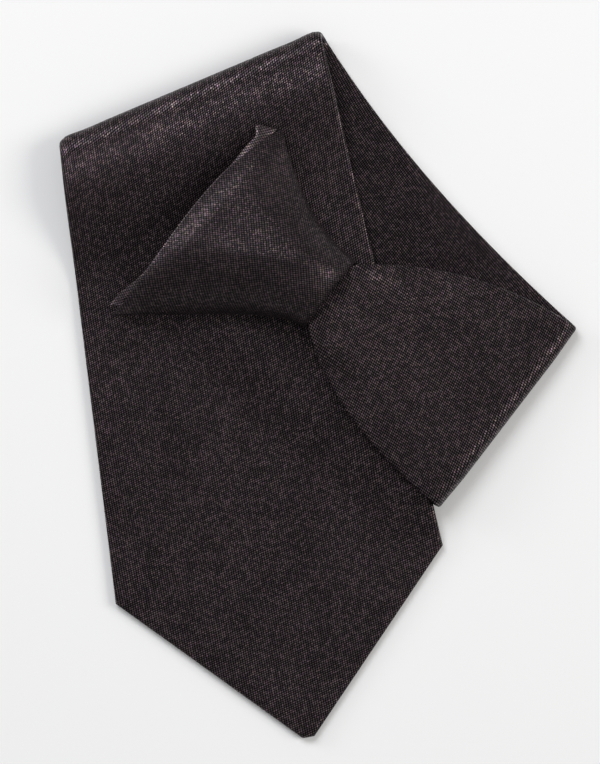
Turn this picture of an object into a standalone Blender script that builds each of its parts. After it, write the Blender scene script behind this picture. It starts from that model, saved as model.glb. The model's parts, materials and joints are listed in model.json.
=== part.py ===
"""Pre-tied clip-on necktie, folded twice and lying flat on a table.

Metres, +Z up. The wide blade runs along Y with its tip towards -Y. The tie goes down from the
knot along its neck, turns under at the first fold, runs back below as the under layer, and
turns over at the second fold into the wide blade, which lies on top of the under layer.
"""
import math

import bmesh
import bpy
from mathutils import Matrix, Vector

# Blade
BLADE_WIDTH = 0.0854            # across the widest line, where the tip begins
TIP_LENGTH = 0.0440             # from the widest line to the point
BLADE_LENGTH = 0.1280           # from the widest line up to the second fold
BLADE_TAPER = 0.057             # half width lost for each metre up the blade
TIP_POINT_HALF_WIDTH = 0.0016   # the point is turned, not sharp
THICKNESS = 0.0024              # closed envelope at its centre line
EDGE_THINNING = 0.0007          # thinner than that at its rolled edges
FLAT_SHARE = 0.6                # of the half width, before it thins
FABRIC = 0.0004                 # one thickness of the satin envelope
SEAM_GAP = 0.0008               # open slit down the back of the envelope
NEAR_FOLD = 0.28                # share of the blade whose rows lie closer together

# How it is folded, headings in degrees from +X
FOLD_TWO_ANGLE = 12.7           # second fold line
FOLD_TWO_HEIGHT = 0.0088        # outside height of the soft roll
FOLD_TWO_REACH = 0.0036         # half ellipse of the roll, front to back
FOLD_TWO_SETTLE = 0.032         # length in which the blade comes down from the roll
UNDER_PAST_BLADE = 0.04093      # run of the under layer past the wide blade's edge
UNDER_SWEEP = 15.9              # the under layer curves by this much in its own plane
FOLD_ONE_ANGLE = 42.3           # first fold line
FOLD_ONE_WIDTH = 0.0583         # along the first fold line
FOLD_ONE_RISE_LEFT = 0.0066     # between the layers' middles, at the end that holds the blade's edge
FOLD_ONE_RISE_RIGHT = 0.0034
LAYER_GAP = 0.0006              # air between layers that lie on each other
FOLD_GAP = 0.0005               # between the first fold's roll and the cloth on either side
DRAPE_LENGTH = 0.014            # in which the blade comes down beside the under layer

# Neck, from the first fold up to the knot
NECK_LENGTH = 0.0561
NECK_HEADING = 135.2
THROAT_WIDTH = 0.0186           # of the neck where it enters the knot
THROAT_FLARE = 42.0             # each edge leaves the knot this far off the neck's axis
NECK_EDGE_RIGHT = 137.0         # headings of the two edges where they leave the first fold
NECK_EDGE_LEFT = 129.7
NECK_ENTRY = 0.0040             # how far the neck goes into the knot
NECK_RISE_POWER = 1.7
THROAT_HEIGHT = 0.0086          # middle of the neck where it enters the knot

# Knot: its heights, the throat's and the clip's are above what the clip rests on
KNOT_HEADING = 132.8            # up the knot, away from the neck
KNOT_LEFT_WING = (0.0420, 0.0370)   # up the knot and out from its axis
KNOT_RIGHT_WING = (0.0352, 0.0262)
KNOT_WING_HEADING = 37.0        # of each side where it reaches its wing, off the axis
KNOT_BOTTOM_WIDTH = 0.0215
KNOT_TOP_BULGE = 0.0032
KNOT_CROWN_BOTTOM = 0.0143
KNOT_CROWN_TOP = 0.0135
KNOT_CROWN_BULGE = 0.0022
KNOT_SIDE_BOTTOM = 0.0093
KNOT_SIDE_FALL = 1.1            # the sides are down at 1 / this share of the height
KNOT_LEFT_WING_HEIGHT = 0.0029
KNOT_RIGHT_WING_HEIGHT = 0.0067
KNOT_ARCH_POWER = 2.2
KNOT_DEPTH = 0.0080             # front skin to the back flaps on the axis
KNOT_EDGE_DEPTH = 0.0032
KNOT_DEPTH_POWER = 3.5
KNOT_FABRIC = 0.0009            # lined satin of the knot
KNOT_PADDING = 0.0014
KNOT_FLAP_TOP = 0.76            # near the wings the back flaps stop at this share of the half width
LAYER_START = 0.16              # padding and former begin at this share of the knot's height
PADDING_END = 0.92
PADDING_REACH = 0.82            # share of the half width
HEM_START = 0.84                # lined hem behind the knot's top edge
HEM_END = 1.04
HEM_REACH = 0.70
HEM_THICKNESS = 0.0005

# Former and clip inside and behind the knot
FORMER_WALL = 0.0014
FORMER_BACK_HEIGHT = 0.0089     # flat back face that the clip is riveted to
FORMER_END = 0.78               # share of the knot's height
FORMER_REACH = 0.56             # share of the half width that its wings reach
CLIP_STEEL = 0.0008
BASE_START = 0.0060
BASE_END = 0.0320
BASE_HALF_WIDTH = 0.0068
HINGE_UP = 0.0200
HINGE_HEIGHT = 0.0055
PIN_RADIUS = 0.00075
PIN_HEAD_RADIUS = 0.0013
EAR_HALF_LENGTH = 0.0026
BEND_PROUD = 0.0001             # a bent ear or cheek isn't flush with its sheet's edge
CHEEK_HALF_LENGTH = 0.0020
CHEEK_TOP = 0.0013              # above the pin's axis
LEVER_JAW_END = 0.0050
LEVER_JAW_LIP = 0.0016          # the jaw's bent lip, along and down
LEVER_BEND_BEFORE = 0.0060      # bends on either side of the pin
LEVER_BEND_AFTER = 0.0050
LEVER_JAW_RISE = 0.0003
LEVER_TAB_FALL = 0.0004
LEVER_TAB_END = 0.0340
LEVER_TAB_HEIGHT = 0.0005        # its middle above what it rests on
LEVER_TEETH = 5
LEVER_NOTCH_HALF = 0.22         # of the tooth pitch
LEVER_NOTCH_DEPTH = 0.0012
SPRING_WIRE_RADIUS = 0.0003
SPRING_COIL_RADIUS = 0.0016
SPRING_TURNS = 2.5
SPRING_BASE_LEG = 0.0078        # each leg's reach past the pin
SPRING_TAB_LEG = 0.0070
SPRING_TAB_LEG_DROP = 0.0023
RIVET_RADIUS = 0.0008
RIVET_HEAD_RADIUS = 0.0018
RIVET_HEAD = 0.0004
RIVET_DEPTH = 0.0008            # of the shank in the former
RIVET_UPS = (0.0100, 0.0300)

# Label on the back of the under layer
LABEL_LENGTH = 0.021
LABEL_WIDTH = 0.016
LABEL_THICKNESS = 0.0002
LABEL_PLACE = 0.42              # share of the under layer's length, from the second fold

LINING_THICKNESS = 0.00015
THREAD_RADIUS = 0.00012
CLEARANCE = 0.0003
LOFT = 0.00005                  # spare air inside the envelope
PIN_CLEARANCE = 0.0003
FLAP_CLEARANCE = 0.0012         # between the clip's base and the knot's back flaps


def clear_scene():
    for old in list(bpy.data.objects):
        bpy.data.objects.remove(old, do_unlink=True)


def collection(name):
    made = bpy.data.collections.new(name)
    bpy.context.scene.collection.children.link(made)
    return made


def material(name, colour, roughness, metallic=0.0):
    made = bpy.data.materials.new(name)
    made.use_nodes = True
    shader = made.node_tree.nodes["Principled BSDF"]
    shader.inputs["Base Color"].default_value = (*colour, 1.0)
    shader.inputs["Roughness"].default_value = roughness
    shader.inputs["Metallic"].default_value = metallic
    return made


def heading(degrees):
    angle = math.radians(degrees)
    return Vector((math.cos(angle), math.sin(angle)))


def smooth(t):
    t = min(1.0, max(0.0, t))
    return t * t * (3.0 - 2.0 * t)


def mix(a, b, t):
    return a + (b - a) * t


def bezier(start, start_heading, end, end_heading, t):
    """Cubic from start to end that leaves and arrives along the two headings."""
    handle = (end - start).length / 3.0
    first = start + heading(start_heading) * handle
    second = end - heading(end_heading) * handle
    s = 1.0 - t
    return start * s**3 + first * 3 * s * s * t + second * 3 * s * t * t + end * t**3


def place(point, height):
    return Vector((point.x, point.y, height))


# ---- the folded strip: a list of rulings, each from the tie's left edge to its right edge ----

class Ruling:
    """One straight line across the tie, with the height of the envelope's middle along it."""

    def __init__(self, left, right, height):
        self.left = left
        self.right = right
        self.height = height

    def middle(self, v):
        at = self.left.lerp(self.right, (1.0 + v) / 2.0)
        return place(at, self.height(at, v))

    def half_width(self):
        return (self.right - self.left).length / 2.0


CROSS_STEPS = 7                 # from the tie's centre line to each rolled edge
EDGE_STEPS = 4                  # round each rolled edge
KNOT_STEPS = 12                 # up and across the knot
HALF = THICKNESS / 2.0
EDGE_THICKNESS = THICKNESS - EDGE_THINNING
INTERLINING = THICKNESS - 2 * FABRIC - LINING_THICKNESS - 3 * CLEARANCE - LOFT
UPPER_LAYER = THICKNESS + LAYER_GAP + HALF
FOLD_TWO_MID_RISE = FOLD_TWO_HEIGHT - THICKNESS


def on_blade_edge(side):
    """Where the second fold line meets the blade's edge: side is -1 for left, 1 for right."""
    slope = math.tan(math.radians(FOLD_TWO_ANGLE))
    x = (BLADE_WIDTH / 2.0 - BLADE_TAPER * BLADE_LENGTH) / (1.0 + side * BLADE_TAPER * slope)
    return Vector((side * x, BLADE_LENGTH + side * x * slope))


FOLD_TWO_LEFT = on_blade_edge(-1)
FOLD_TWO_RIGHT = on_blade_edge(1)
FOLD_TWO_MIDDLE = Vector((0.0, BLADE_LENGTH))
UNDER_HEADING_START = 2 * FOLD_TWO_ANGLE - 90.0
UNDER_CHORD_HEADING = UNDER_HEADING_START + UNDER_SWEEP / 2.0
# The first fold's roll holds the wide blade's edge, so it moves out with that edge.
UNDER_LENGTH = BLADE_WIDTH / 2.0 / heading(UNDER_CHORD_HEADING).x + UNDER_PAST_BLADE
FOLD_ONE_MIDDLE = FOLD_TWO_MIDDLE + heading(UNDER_CHORD_HEADING) * UNDER_LENGTH
FOLD_ONE_LEFT = FOLD_ONE_MIDDLE - heading(FOLD_ONE_ANGLE) * FOLD_ONE_WIDTH / 2.0
FOLD_ONE_RIGHT = FOLD_ONE_MIDDLE + heading(FOLD_ONE_ANGLE) * FOLD_ONE_WIDTH / 2.0
THROAT = FOLD_ONE_MIDDLE + heading(NECK_HEADING) * NECK_LENGTH


def edge_drift(edge_heading, fold_angle, outward):
    """How far an edge shifts along the fold line for each metre of cloth past the line."""
    along = heading(edge_heading)
    return along.dot(heading(fold_angle)) / abs(along.dot(outward))


BLADE_EDGE_LEAN = math.degrees(math.atan(BLADE_TAPER))
FOLD_TWO_OUT = heading(FOLD_TWO_ANGLE + 90.0)
FOLD_ONE_OUT = heading(FOLD_ONE_ANGLE - 90.0)
DRIFT_TWO_LEFT = edge_drift(-90.0 - BLADE_EDGE_LEAN, FOLD_TWO_ANGLE, FOLD_TWO_OUT)
DRIFT_TWO_RIGHT = edge_drift(-90.0 + BLADE_EDGE_LEAN, FOLD_TWO_ANGLE, FOLD_TWO_OUT)
# The neck's edges head away from the fold, so the cloth past it drifts the other way.
DRIFT_ONE_LEFT = -edge_drift(NECK_EDGE_LEFT, FOLD_ONE_ANGLE, FOLD_ONE_OUT)
DRIFT_ONE_RIGHT = -edge_drift(NECK_EDGE_RIGHT, FOLD_ONE_ANGLE, FOLD_ONE_OUT)


def fold_ruling(left, right, angle, out, drift, reach, rises, low, turn):
    """A ruling on a roll. turn runs from -1, entering from the knot's side, to 1, leaving.

    reach is the roll's half length, rises its height at the left and right ends, and low is
    True where the strip enters below and leaves above.
    """
    phase = turn * math.pi / 2.0
    along = heading(angle)
    depth = HALF + reach * (1.0 - math.cos(phase))
    ends = []
    for corner, slide, rise in zip((left, right), drift, rises):
        cloth = math.pi / 4.0 * (reach + rise / 2.0) * turn
        ends.append(corner + along * slide * cloth - out * depth)
    sign = 1.0 if low else -1.0

    def height(_, v):
        rise = mix(rises[0], rises[1], (1.0 + v) / 2.0)
        return HALF + rise / 2.0 * (1.0 + sign * math.sin(phase))

    return Ruling(ends[0], ends[1], height)


def fold_one_ruling(turn):
    reach = (FOLD_ONE_RISE_LEFT + FOLD_ONE_RISE_RIGHT) / 4.0
    return fold_ruling(FOLD_ONE_LEFT, FOLD_ONE_RIGHT, FOLD_ONE_ANGLE, FOLD_ONE_OUT,
                       (DRIFT_ONE_LEFT, DRIFT_ONE_RIGHT), reach,
                       (FOLD_ONE_RISE_LEFT, FOLD_ONE_RISE_RIGHT), False, turn)


def fold_two_ruling(turn):
    return fold_ruling(FOLD_TWO_LEFT, FOLD_TWO_RIGHT, FOLD_TWO_ANGLE, FOLD_TWO_OUT,
                       (DRIFT_TWO_LEFT, DRIFT_TWO_RIGHT), FOLD_TWO_REACH,
                       (FOLD_TWO_MID_RISE, FOLD_TWO_MID_RISE), True, turn)


def reflected(angle, line):
    return 2.0 * line - angle


def under_edge(side, t):
    """The under layer's left (-1) or right (1) edge, from the first fold to the second."""
    start = fold_one_ruling(1.0)
    end = fold_two_ruling(-1.0)
    if side < 0:
        leave = reflected(NECK_EDGE_LEFT, FOLD_ONE_ANGLE) + 180.0
        arrive = reflected(-90.0 - BLADE_EDGE_LEAN, FOLD_TWO_ANGLE)
        return bezier(start.left, leave, end.left, arrive, t)
    leave = reflected(NECK_EDGE_RIGHT, FOLD_ONE_ANGLE) + 180.0
    arrive = reflected(-90.0 + BLADE_EDGE_LEAN, FOLD_TWO_ANGLE)
    return bezier(start.right, leave, end.right, arrive, t)


UNDER_EDGE_SAMPLES = [under_edge(-1, i / 40.0) for i in range(41)]


def beside_under_layer(at):
    """Distance outside the under layer's hidden edge; negative where it lies below the blade."""
    best = None
    for a, b in zip(UNDER_EDGE_SAMPLES, UNDER_EDGE_SAMPLES[1:]):
        step = b - a
        t = min(1.0, max(0.0, (at - a).dot(step) / step.length_squared))
        away = at - (a + step * t)
        if best is None or away.length < abs(best):
            side = step.x * away.y - step.y * away.x
            best = away.length if side > 0 else -away.length
    return best


def blade_height(at, _):
    """Middle of the wide blade above the table."""
    down = smooth(beside_under_layer(at) / DRAPE_LENGTH)
    resting = mix(UPPER_LAYER, HALF, down)
    behind = (FOLD_TWO_MIDDLE - at).dot(FOLD_TWO_OUT) - HALF - FOLD_TWO_REACH
    puff = 1.0 - smooth(behind / FOLD_TWO_SETTLE)
    return mix(resting, HALF + FOLD_TWO_MID_RISE, puff)


def tab_rest():
    """Top of the blade under the clip's thumb tab, which holds the knot up."""
    tops = []
    for out in (-BASE_HALF_WIDTH, 0.0, BASE_HALF_WIDTH):
        for up in (HINGE_UP, LEVER_TAB_END):
            tops.append(blade_height(knot_place(up, out), 0.0) + HALF)
    return max(tops)


def flat_height(_, __):
    return HALF


def neck_height(at, v):
    """Middle of the neck, which rises from the first fold to the knot."""
    run = (at - FOLD_ONE_MIDDLE).dot(heading(NECK_HEADING)) / NECK_LENGTH
    at_fold = HALF + mix(FOLD_ONE_RISE_LEFT, FOLD_ONE_RISE_RIGHT, (1.0 + v) / 2.0)
    rise = max(0.0, run) ** NECK_RISE_POWER
    return mix(at_fold, KNOT_REST + THROAT_HEIGHT, min(rise, 1.0))


def neck_rulings(count):
    """From just inside the knot down to the first fold."""
    fold = fold_one_ruling(-1.0)
    across = heading(KNOT_HEADING + 90.0)
    left = THROAT + across * THROAT_WIDTH / 2.0
    right = THROAT - across * THROAT_WIDTH / 2.0
    down = KNOT_HEADING + 180.0
    made = []
    inside = heading(KNOT_HEADING) * NECK_ENTRY
    made.append(Ruling(left + inside, right + inside, neck_height))
    for i in range(count + 1):
        t = i / count
        a = bezier(left, down - THROAT_FLARE, fold.left, NECK_EDGE_LEFT + 180.0, t)
        b = bezier(right, down + THROAT_FLARE, fold.right, NECK_EDGE_RIGHT + 180.0, t)
        if i == count:
            back = FOLD_ONE_OUT * FOLD_GAP
            a, b = a - back, b - back
        made.append(Ruling(a, b, neck_height))
    return made


def under_rulings(count):
    made = []
    for i in range(count + 1):
        t = i / count
        a, b = under_edge(-1, t), under_edge(1, t)
        if i == 0:
            back = FOLD_ONE_OUT * FOLD_GAP
            a, b = a - back, b - back
        made.append(Ruling(a, b, flat_height))
    return made


def blade_rulings(near_fold, body, tip):
    """From the second fold down to the point, closer together near the fold."""
    fold = fold_two_ruling(1.0)
    widest = BLADE_WIDTH / 2.0
    shares = [NEAR_FOLD * (i + 1) / near_fold for i in range(near_fold)]
    shares += [mix(NEAR_FOLD, 1.0, (i + 1) / body) for i in range(body)]
    made = []
    for share in shares:
        a = fold.left.lerp(Vector((-widest, 0.0)), share)
        b = fold.right.lerp(Vector((widest, 0.0)), share)
        made.append(Ruling(a, b, blade_height))
    for i in range(tip):
        share = (i + 1) / tip
        half = mix(widest, TIP_POINT_HALF_WIDTH, share)
        y = -(TIP_LENGTH - TIP_POINT_HALF_WIDTH) * share
        made.append(Ruling(Vector((-half, y)), Vector((half, y)), blade_height))
    return made


def fold_one_rulings(steps):
    return [fold_one_ruling(2.0 * i / steps - 1.0) for i in range(steps + 1)]


def fold_two_rulings(steps):
    return [fold_two_ruling(2.0 * i / steps - 1.0) for i in range(1, steps + 1)]


# ---- meshes over rulings ----

def front_normal(rulings, k, v):
    before = rulings[max(0, k - 1)].middle(v)
    after = rulings[min(len(rulings) - 1, k + 1)].middle(v)
    across = rulings[k].middle(min(1.0, v + 0.02)) - rulings[k].middle(max(-1.0, v - 0.02))
    return (after - before).cross(across).normalized()


def strip_point(rulings, k, v, offset):
    inside = min(1.0, max(-1.0, v))
    return rulings[k].middle(inside) + front_normal(rulings, k, inside) * offset


def half_thickness(v):
    """Flat across the middle, thinner towards the rolled edges."""
    return mix(THICKNESS, EDGE_THICKNESS, smooth((abs(v) - FLAT_SHARE) / (1.0 - FLAT_SHARE))) / 2.0


def edge_radius(half_width):
    return min(EDGE_THICKNESS / 2.0, half_width * 0.45)


def inner_reach(half_width):
    """Share of the half width at which the rolled edge begins."""
    return 1.0 - edge_radius(half_width) / half_width


def envelope_profile(half_width):
    """(v, offset) from the left seam lip, round the left edge, the front and the right edge."""
    edge = edge_radius(half_width)
    inner = inner_reach(half_width)
    slit = min(SEAM_GAP / 2.0 / half_width, 0.4)
    limit = half_width * 0.5
    side = []
    for i in range(CROSS_STEPS):
        v = mix(slit, inner, i / CROSS_STEPS)
        side.append((v, -min(half_thickness(v), limit)))
    for i in range(EDGE_STEPS + 1):
        angle = math.pi * i / EDGE_STEPS - math.pi / 2
        side.append((inner + (1.0 - inner) * math.cos(angle), edge * math.sin(angle)))
    front = []
    for i in range(1 - CROSS_STEPS, CROSS_STEPS):
        v = inner * i / CROSS_STEPS
        front.append((v, min(half_thickness(v), limit)))
    return [(-v, b) for v, b in side] + front + list(reversed(side))


def mesh_object(name, points, faces, look, group):
    mesh = bpy.data.meshes.new(name)
    mesh.from_pydata([tuple(p) for p in points], [], faces)
    mesh.update()
    made = bpy.data.objects.new(name, mesh)
    made.data.materials.append(look)
    group.objects.link(made)
    mesh.shade_smooth()
    mesh.set_sharp_from_angle(angle=math.radians(40))
    return made


def sheet(name, rows, thickness, look, group):
    """An open grid of points, given its thickness on the inner side by Solidify."""
    count = len(rows[0])
    points = [p for row in rows for p in row]
    faces = []
    for i in range(len(rows) - 1):
        for j in range(count - 1):
            a = i * count + j
            faces.append((a, a + count, a + count + 1, a + 1))
    made = mesh_object(name, points, faces, look, group)
    wall = made.modifiers.new("wall", "SOLIDIFY")
    wall.thickness = thickness
    wall.offset = -1.0
    return made


def loft(name, rings, look, group):
    """A closed body through closed rings of equal length, capped at both ends."""
    count = len(rings[0])
    points = [p for ring in rings for p in ring]
    faces = []
    for i in range(len(rings) - 1):
        for j in range(count):
            n = (j + 1) % count
            faces.append((i * count + j, i * count + n, (i + 1) * count + n, (i + 1) * count + j))
    last = (len(rings) - 1) * count
    faces.append(tuple(range(count)))
    faces.append(tuple(range(last, last + count)))
    made = mesh_object(name, points, faces, look, group)
    work = bmesh.new()
    work.from_mesh(made.data)
    bmesh.ops.recalc_face_normals(work, faces=work.faces)
    work.to_mesh(made.data)
    work.free()
    return made


def envelope(name, rulings, look, group):
    rows = []
    for k, ruling in enumerate(rulings):
        profile = envelope_profile(ruling.half_width())
        rows.append([strip_point(rulings, k, v, b) for v, b in profile])
    return sheet(name, rows, FABRIC, look, group)


def slab(name, rulings, low, top, missing, look, group):
    """A layer inside the envelope: low(v) is its back's offset, top(v) its front's.

    It stops the given number of cross steps short of the rolled edges.
    """
    rings = []
    reach = CROSS_STEPS - missing
    for k, ruling in enumerate(rulings):
        inner = inner_reach(ruling.half_width())
        vs = [inner * i / CROSS_STEPS for i in range(-reach, reach + 1)]
        front = [strip_point(rulings, k, v, top(v)) for v in vs]
        back = [strip_point(rulings, k, v, low(v)) for v in reversed(vs)]
        rings.append(front + back)
    return loft(name, rings, look, group)


def wire(name, points, radius, look, group, resolution=2):
    """A round wire or thread through points, with filled caps, as one closed mesh."""
    data = bpy.data.curves.new(name, "CURVE")
    data.dimensions = "3D"
    line = data.splines.new("POLY")
    line.points.add(len(points) - 1)
    for spot, point in zip(line.points, points):
        spot.co = (*point, 1.0)
    data.bevel_depth = radius
    data.bevel_resolution = resolution
    data.use_fill_caps = True
    made = bpy.data.objects.new(name, data)
    made.data.materials.append(look)
    group.objects.link(made)
    return made


def seam_thread(name, rulings, look, group):
    depth = HALF - FABRIC / 2.0
    points = [strip_point(rulings, k, 0.0, -depth) for k in range(len(rulings))]
    return wire(name, points, THREAD_RADIUS, look, group, 1)


# ---- knot: rulings from the left side to the right side, up from the throat ----

def knot_place(up, out):
    return THROAT + heading(KNOT_HEADING) * up + heading(KNOT_HEADING + 90.0) * out


KNOT_REST = tab_rest()
FORMER_BACK = KNOT_REST + FORMER_BACK_HEIGHT
HINGE_Z = KNOT_REST + HINGE_HEIGHT
PLATE_LOW = FORMER_BACK - CLEARANCE - CLIP_STEEL


def knot_side(side, t):
    """(up, out) along the left (1) or right (-1) side of the knot, t from throat to wing."""
    wing = KNOT_LEFT_WING if side > 0 else KNOT_RIGHT_WING
    start = Vector((0.0, KNOT_BOTTOM_WIDTH / 2.0))
    end = Vector(wing)
    curve = bezier(start, 0.0, end, KNOT_WING_HEADING, t)
    return Vector((curve.x, side * curve.y))


def knot_plan(t, v):
    """Plan point of the knot's front: v is 1 at the left side and -1 at the right."""
    left, right = knot_side(1, t), knot_side(-1, t)
    at = right.lerp(left, (1.0 + v) / 2.0)
    at.x += KNOT_TOP_BULGE * t * t * (1.0 - v * v)
    return knot_place(at.x, at.y)


def knot_arch(t, v):
    """Height of the knot's front skin."""
    wing = KNOT_LEFT_WING_HEIGHT if v > 0 else KNOT_RIGHT_WING_HEIGHT
    side = mix(KNOT_SIDE_BOTTOM, wing, smooth(t * KNOT_SIDE_FALL))
    crown = mix(KNOT_CROWN_BOTTOM, KNOT_CROWN_TOP, t) + 4 * KNOT_CROWN_BULGE * t * (1.0 - t)
    return KNOT_REST + mix(side, crown, 1.0 - abs(v) ** KNOT_ARCH_POWER)


def knot_point(t, v, below=0.0):
    return place(knot_plan(t, v), knot_arch(t, v) - below)


def knot_depth(v):
    return mix(KNOT_DEPTH, KNOT_EDGE_DEPTH, abs(v) ** KNOT_DEPTH_POWER)


def under_skin_depth(t, v, thickness):
    """Vertical depth that is this thick measured square to the knot's sloping skin."""
    step = 0.01
    along = knot_point(t + step, v) - knot_point(t - step, v)
    across = knot_point(t, v + step) - knot_point(t, v - step)
    normal = along.cross(across).normalized()
    return thickness / max(0.45, abs(normal.z))


def knot_half_width(t):
    return (knot_side(1, t).y - knot_side(-1, t).y) / 2.0


def share_at(t, out):
    """The cross share v that lies this far out from the knot's axis."""
    left, right = knot_side(1, t).y, knot_side(-1, t).y
    return 2.0 * (out - right) / (left - right) - 1.0


def knot_wrap(look, group):
    """Satin round the front and both sides, with two flaps folded onto the back."""
    rows = []
    for i in range(KNOT_STEPS + 1):
        t = i / KNOT_STEPS
        roll = KNOT_EDGE_DEPTH / 2.0 / knot_half_width(t)
        front = [mix(1.0 - roll, -1.0 + roll, j / KNOT_STEPS) for j in range(KNOT_STEPS + 1)]
        flaps = []
        for side in (1, -1):
            beside_clip = side * share_at(t, side * (BASE_HALF_WIDTH + FLAP_CLEARANCE))
            inner = max(beside_clip, KNOT_FLAP_TOP * smooth((t - 0.6) / 0.3))
            flaps.append([side * mix(inner, 1.0 - roll, j / 3) for j in range(4)])
        row = [knot_point(t, v, knot_depth(v)) for v in flaps[0]]
        for angle in (45, 90, 135):
            v = 1.0 - roll + roll * math.sin(math.radians(angle))
            below = KNOT_EDGE_DEPTH / 2.0 * (1.0 - math.cos(math.radians(180 - angle)))
            row.append(knot_point(t, v, below))
        row += [knot_point(t, v) for v in front]
        for angle in (45, 90, 135):
            v = -1.0 + roll - roll * math.sin(math.radians(angle))
            below = KNOT_EDGE_DEPTH / 2.0 * (1.0 - math.cos(math.radians(angle)))
            row.append(knot_point(t, v, below))
        row += [knot_point(t, v, knot_depth(v)) for v in reversed(flaps[1])]
        rows.append(row)
    rows.reverse()
    return sheet("knot_wrap", rows, KNOT_FABRIC, look, group)


def knot_layer(name, start, end, reach, depth, bottom, look, group, rows=9):
    """A layer under the knot's skin: depth is its front's below the skin, bottom its back's height."""
    rings = []
    for i in range(rows + 1):
        t = mix(start, end, i / rows)
        vs = [mix(-reach, reach, j / KNOT_STEPS) for j in range(KNOT_STEPS + 1)]
        upper = [knot_point(t, v, under_skin_depth(t, v, depth)) for v in vs]
        lower = [place(knot_plan(t, v), bottom(t, v)) for v in reversed(vs)]
        rings.append(upper + lower)
    return loft(name, rings, look, group)


def cylinder(name, centre, radius, length, direction, look, group, sides=24):
    work = bmesh.new()
    turn = Vector((0, 0, 1)).rotation_difference(direction).to_matrix().to_4x4()
    bmesh.ops.create_cone(work, cap_ends=True, segments=sides, radius1=radius, radius2=radius,
                          depth=length, matrix=Matrix.Translation(centre) @ turn)
    mesh = bpy.data.meshes.new(name)
    work.to_mesh(mesh)
    work.free()
    made = bpy.data.objects.new(name, mesh)
    if look:
        mesh.materials.append(look)
    group.objects.link(made)
    mesh.shade_smooth()
    mesh.set_sharp_from_angle(angle=math.radians(40))
    return made


def box(name, low, high, look, group):
    """A box in the knot's own directions: low and high are (up, out, height)."""
    work = bmesh.new()
    bmesh.ops.create_cube(work, size=1.0)
    for vert in work.verts:
        up, out, height = (mix(a, b, c + 0.5) for a, b, c in zip(low, high, vert.co))
        vert.co = place(knot_place(up, out), height)
    mesh = bpy.data.meshes.new(name)
    work.to_mesh(mesh)
    work.free()
    made = bpy.data.objects.new(name, mesh)
    if look:
        mesh.materials.append(look)
    group.objects.link(made)
    return made


def boolean(target, other, operation):
    tool = target.modifiers.new(operation.lower(), "BOOLEAN")
    tool.operation = operation
    tool.object = other
    tool.solver = "EXACT"
    other.hide_render = True
    other.display_type = "WIRE"


def across_bar(name, radius, half, look, group):
    centre = place(knot_place(HINGE_UP, 0.0), HINGE_Z)
    sideways = heading(KNOT_HEADING + 90.0)
    return cylinder(name, centre, radius, 2 * half, Vector((sideways.x, sideways.y, 0)), look, group)


def plate_along(name, profile, half_width, look, group):
    """A bent sheet: profile is a list of (up, height), extruded across the knot's axis."""
    rows = []
    for up, height in profile:
        rows.append([place(knot_place(up, out), height) for out in (half_width, -half_width)])
    made = sheet(name, rows, CLIP_STEEL, look, group)
    made.modifiers["wall"].offset = 0.0
    made.modifiers["wall"].use_even_offset = True
    return made


def clip_base(look, group, cutters):
    """Steel plate riveted to the former, with two pierced ears for the hinge pin."""
    top = FORMER_BACK - CLEARANCE
    low = PLATE_LOW
    base = box("clip_base", (BASE_START, -BASE_HALF_WIDTH, low), (BASE_END, BASE_HALF_WIDTH, top),
               look, group)
    ear_low = HINGE_Z - PIN_HEAD_RADIUS - CLIP_STEEL
    for side in (-1, 1):
        inner = side * (BASE_HALF_WIDTH - CLIP_STEEL)
        outer = side * (BASE_HALF_WIDTH + BEND_PROUD)
        ear = box(f"ear_{side}", (HINGE_UP - EAR_HALF_LENGTH, min(inner, outer), ear_low),
                  (HINGE_UP + EAR_HALF_LENGTH, max(inner, outer), top - CLIP_STEEL / 2), None, cutters)
        boolean(base, ear, "UNION")
    hole = across_bar("ear_holes", PIN_RADIUS + PIN_CLEARANCE, BASE_HALF_WIDTH * 1.5, None, cutters)
    boolean(base, hole, "DIFFERENCE")
    for i, up in enumerate(RIVET_UPS):
        centre = place(knot_place(up, 0.0), top)
        drill = cylinder(f"base_hole_{i}", centre, RIVET_RADIUS + PIN_CLEARANCE, 4 * CLIP_STEEL,
                         Vector((0, 0, 1)), None, cutters)
        boolean(base, drill, "DIFFERENCE")
    return base


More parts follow.
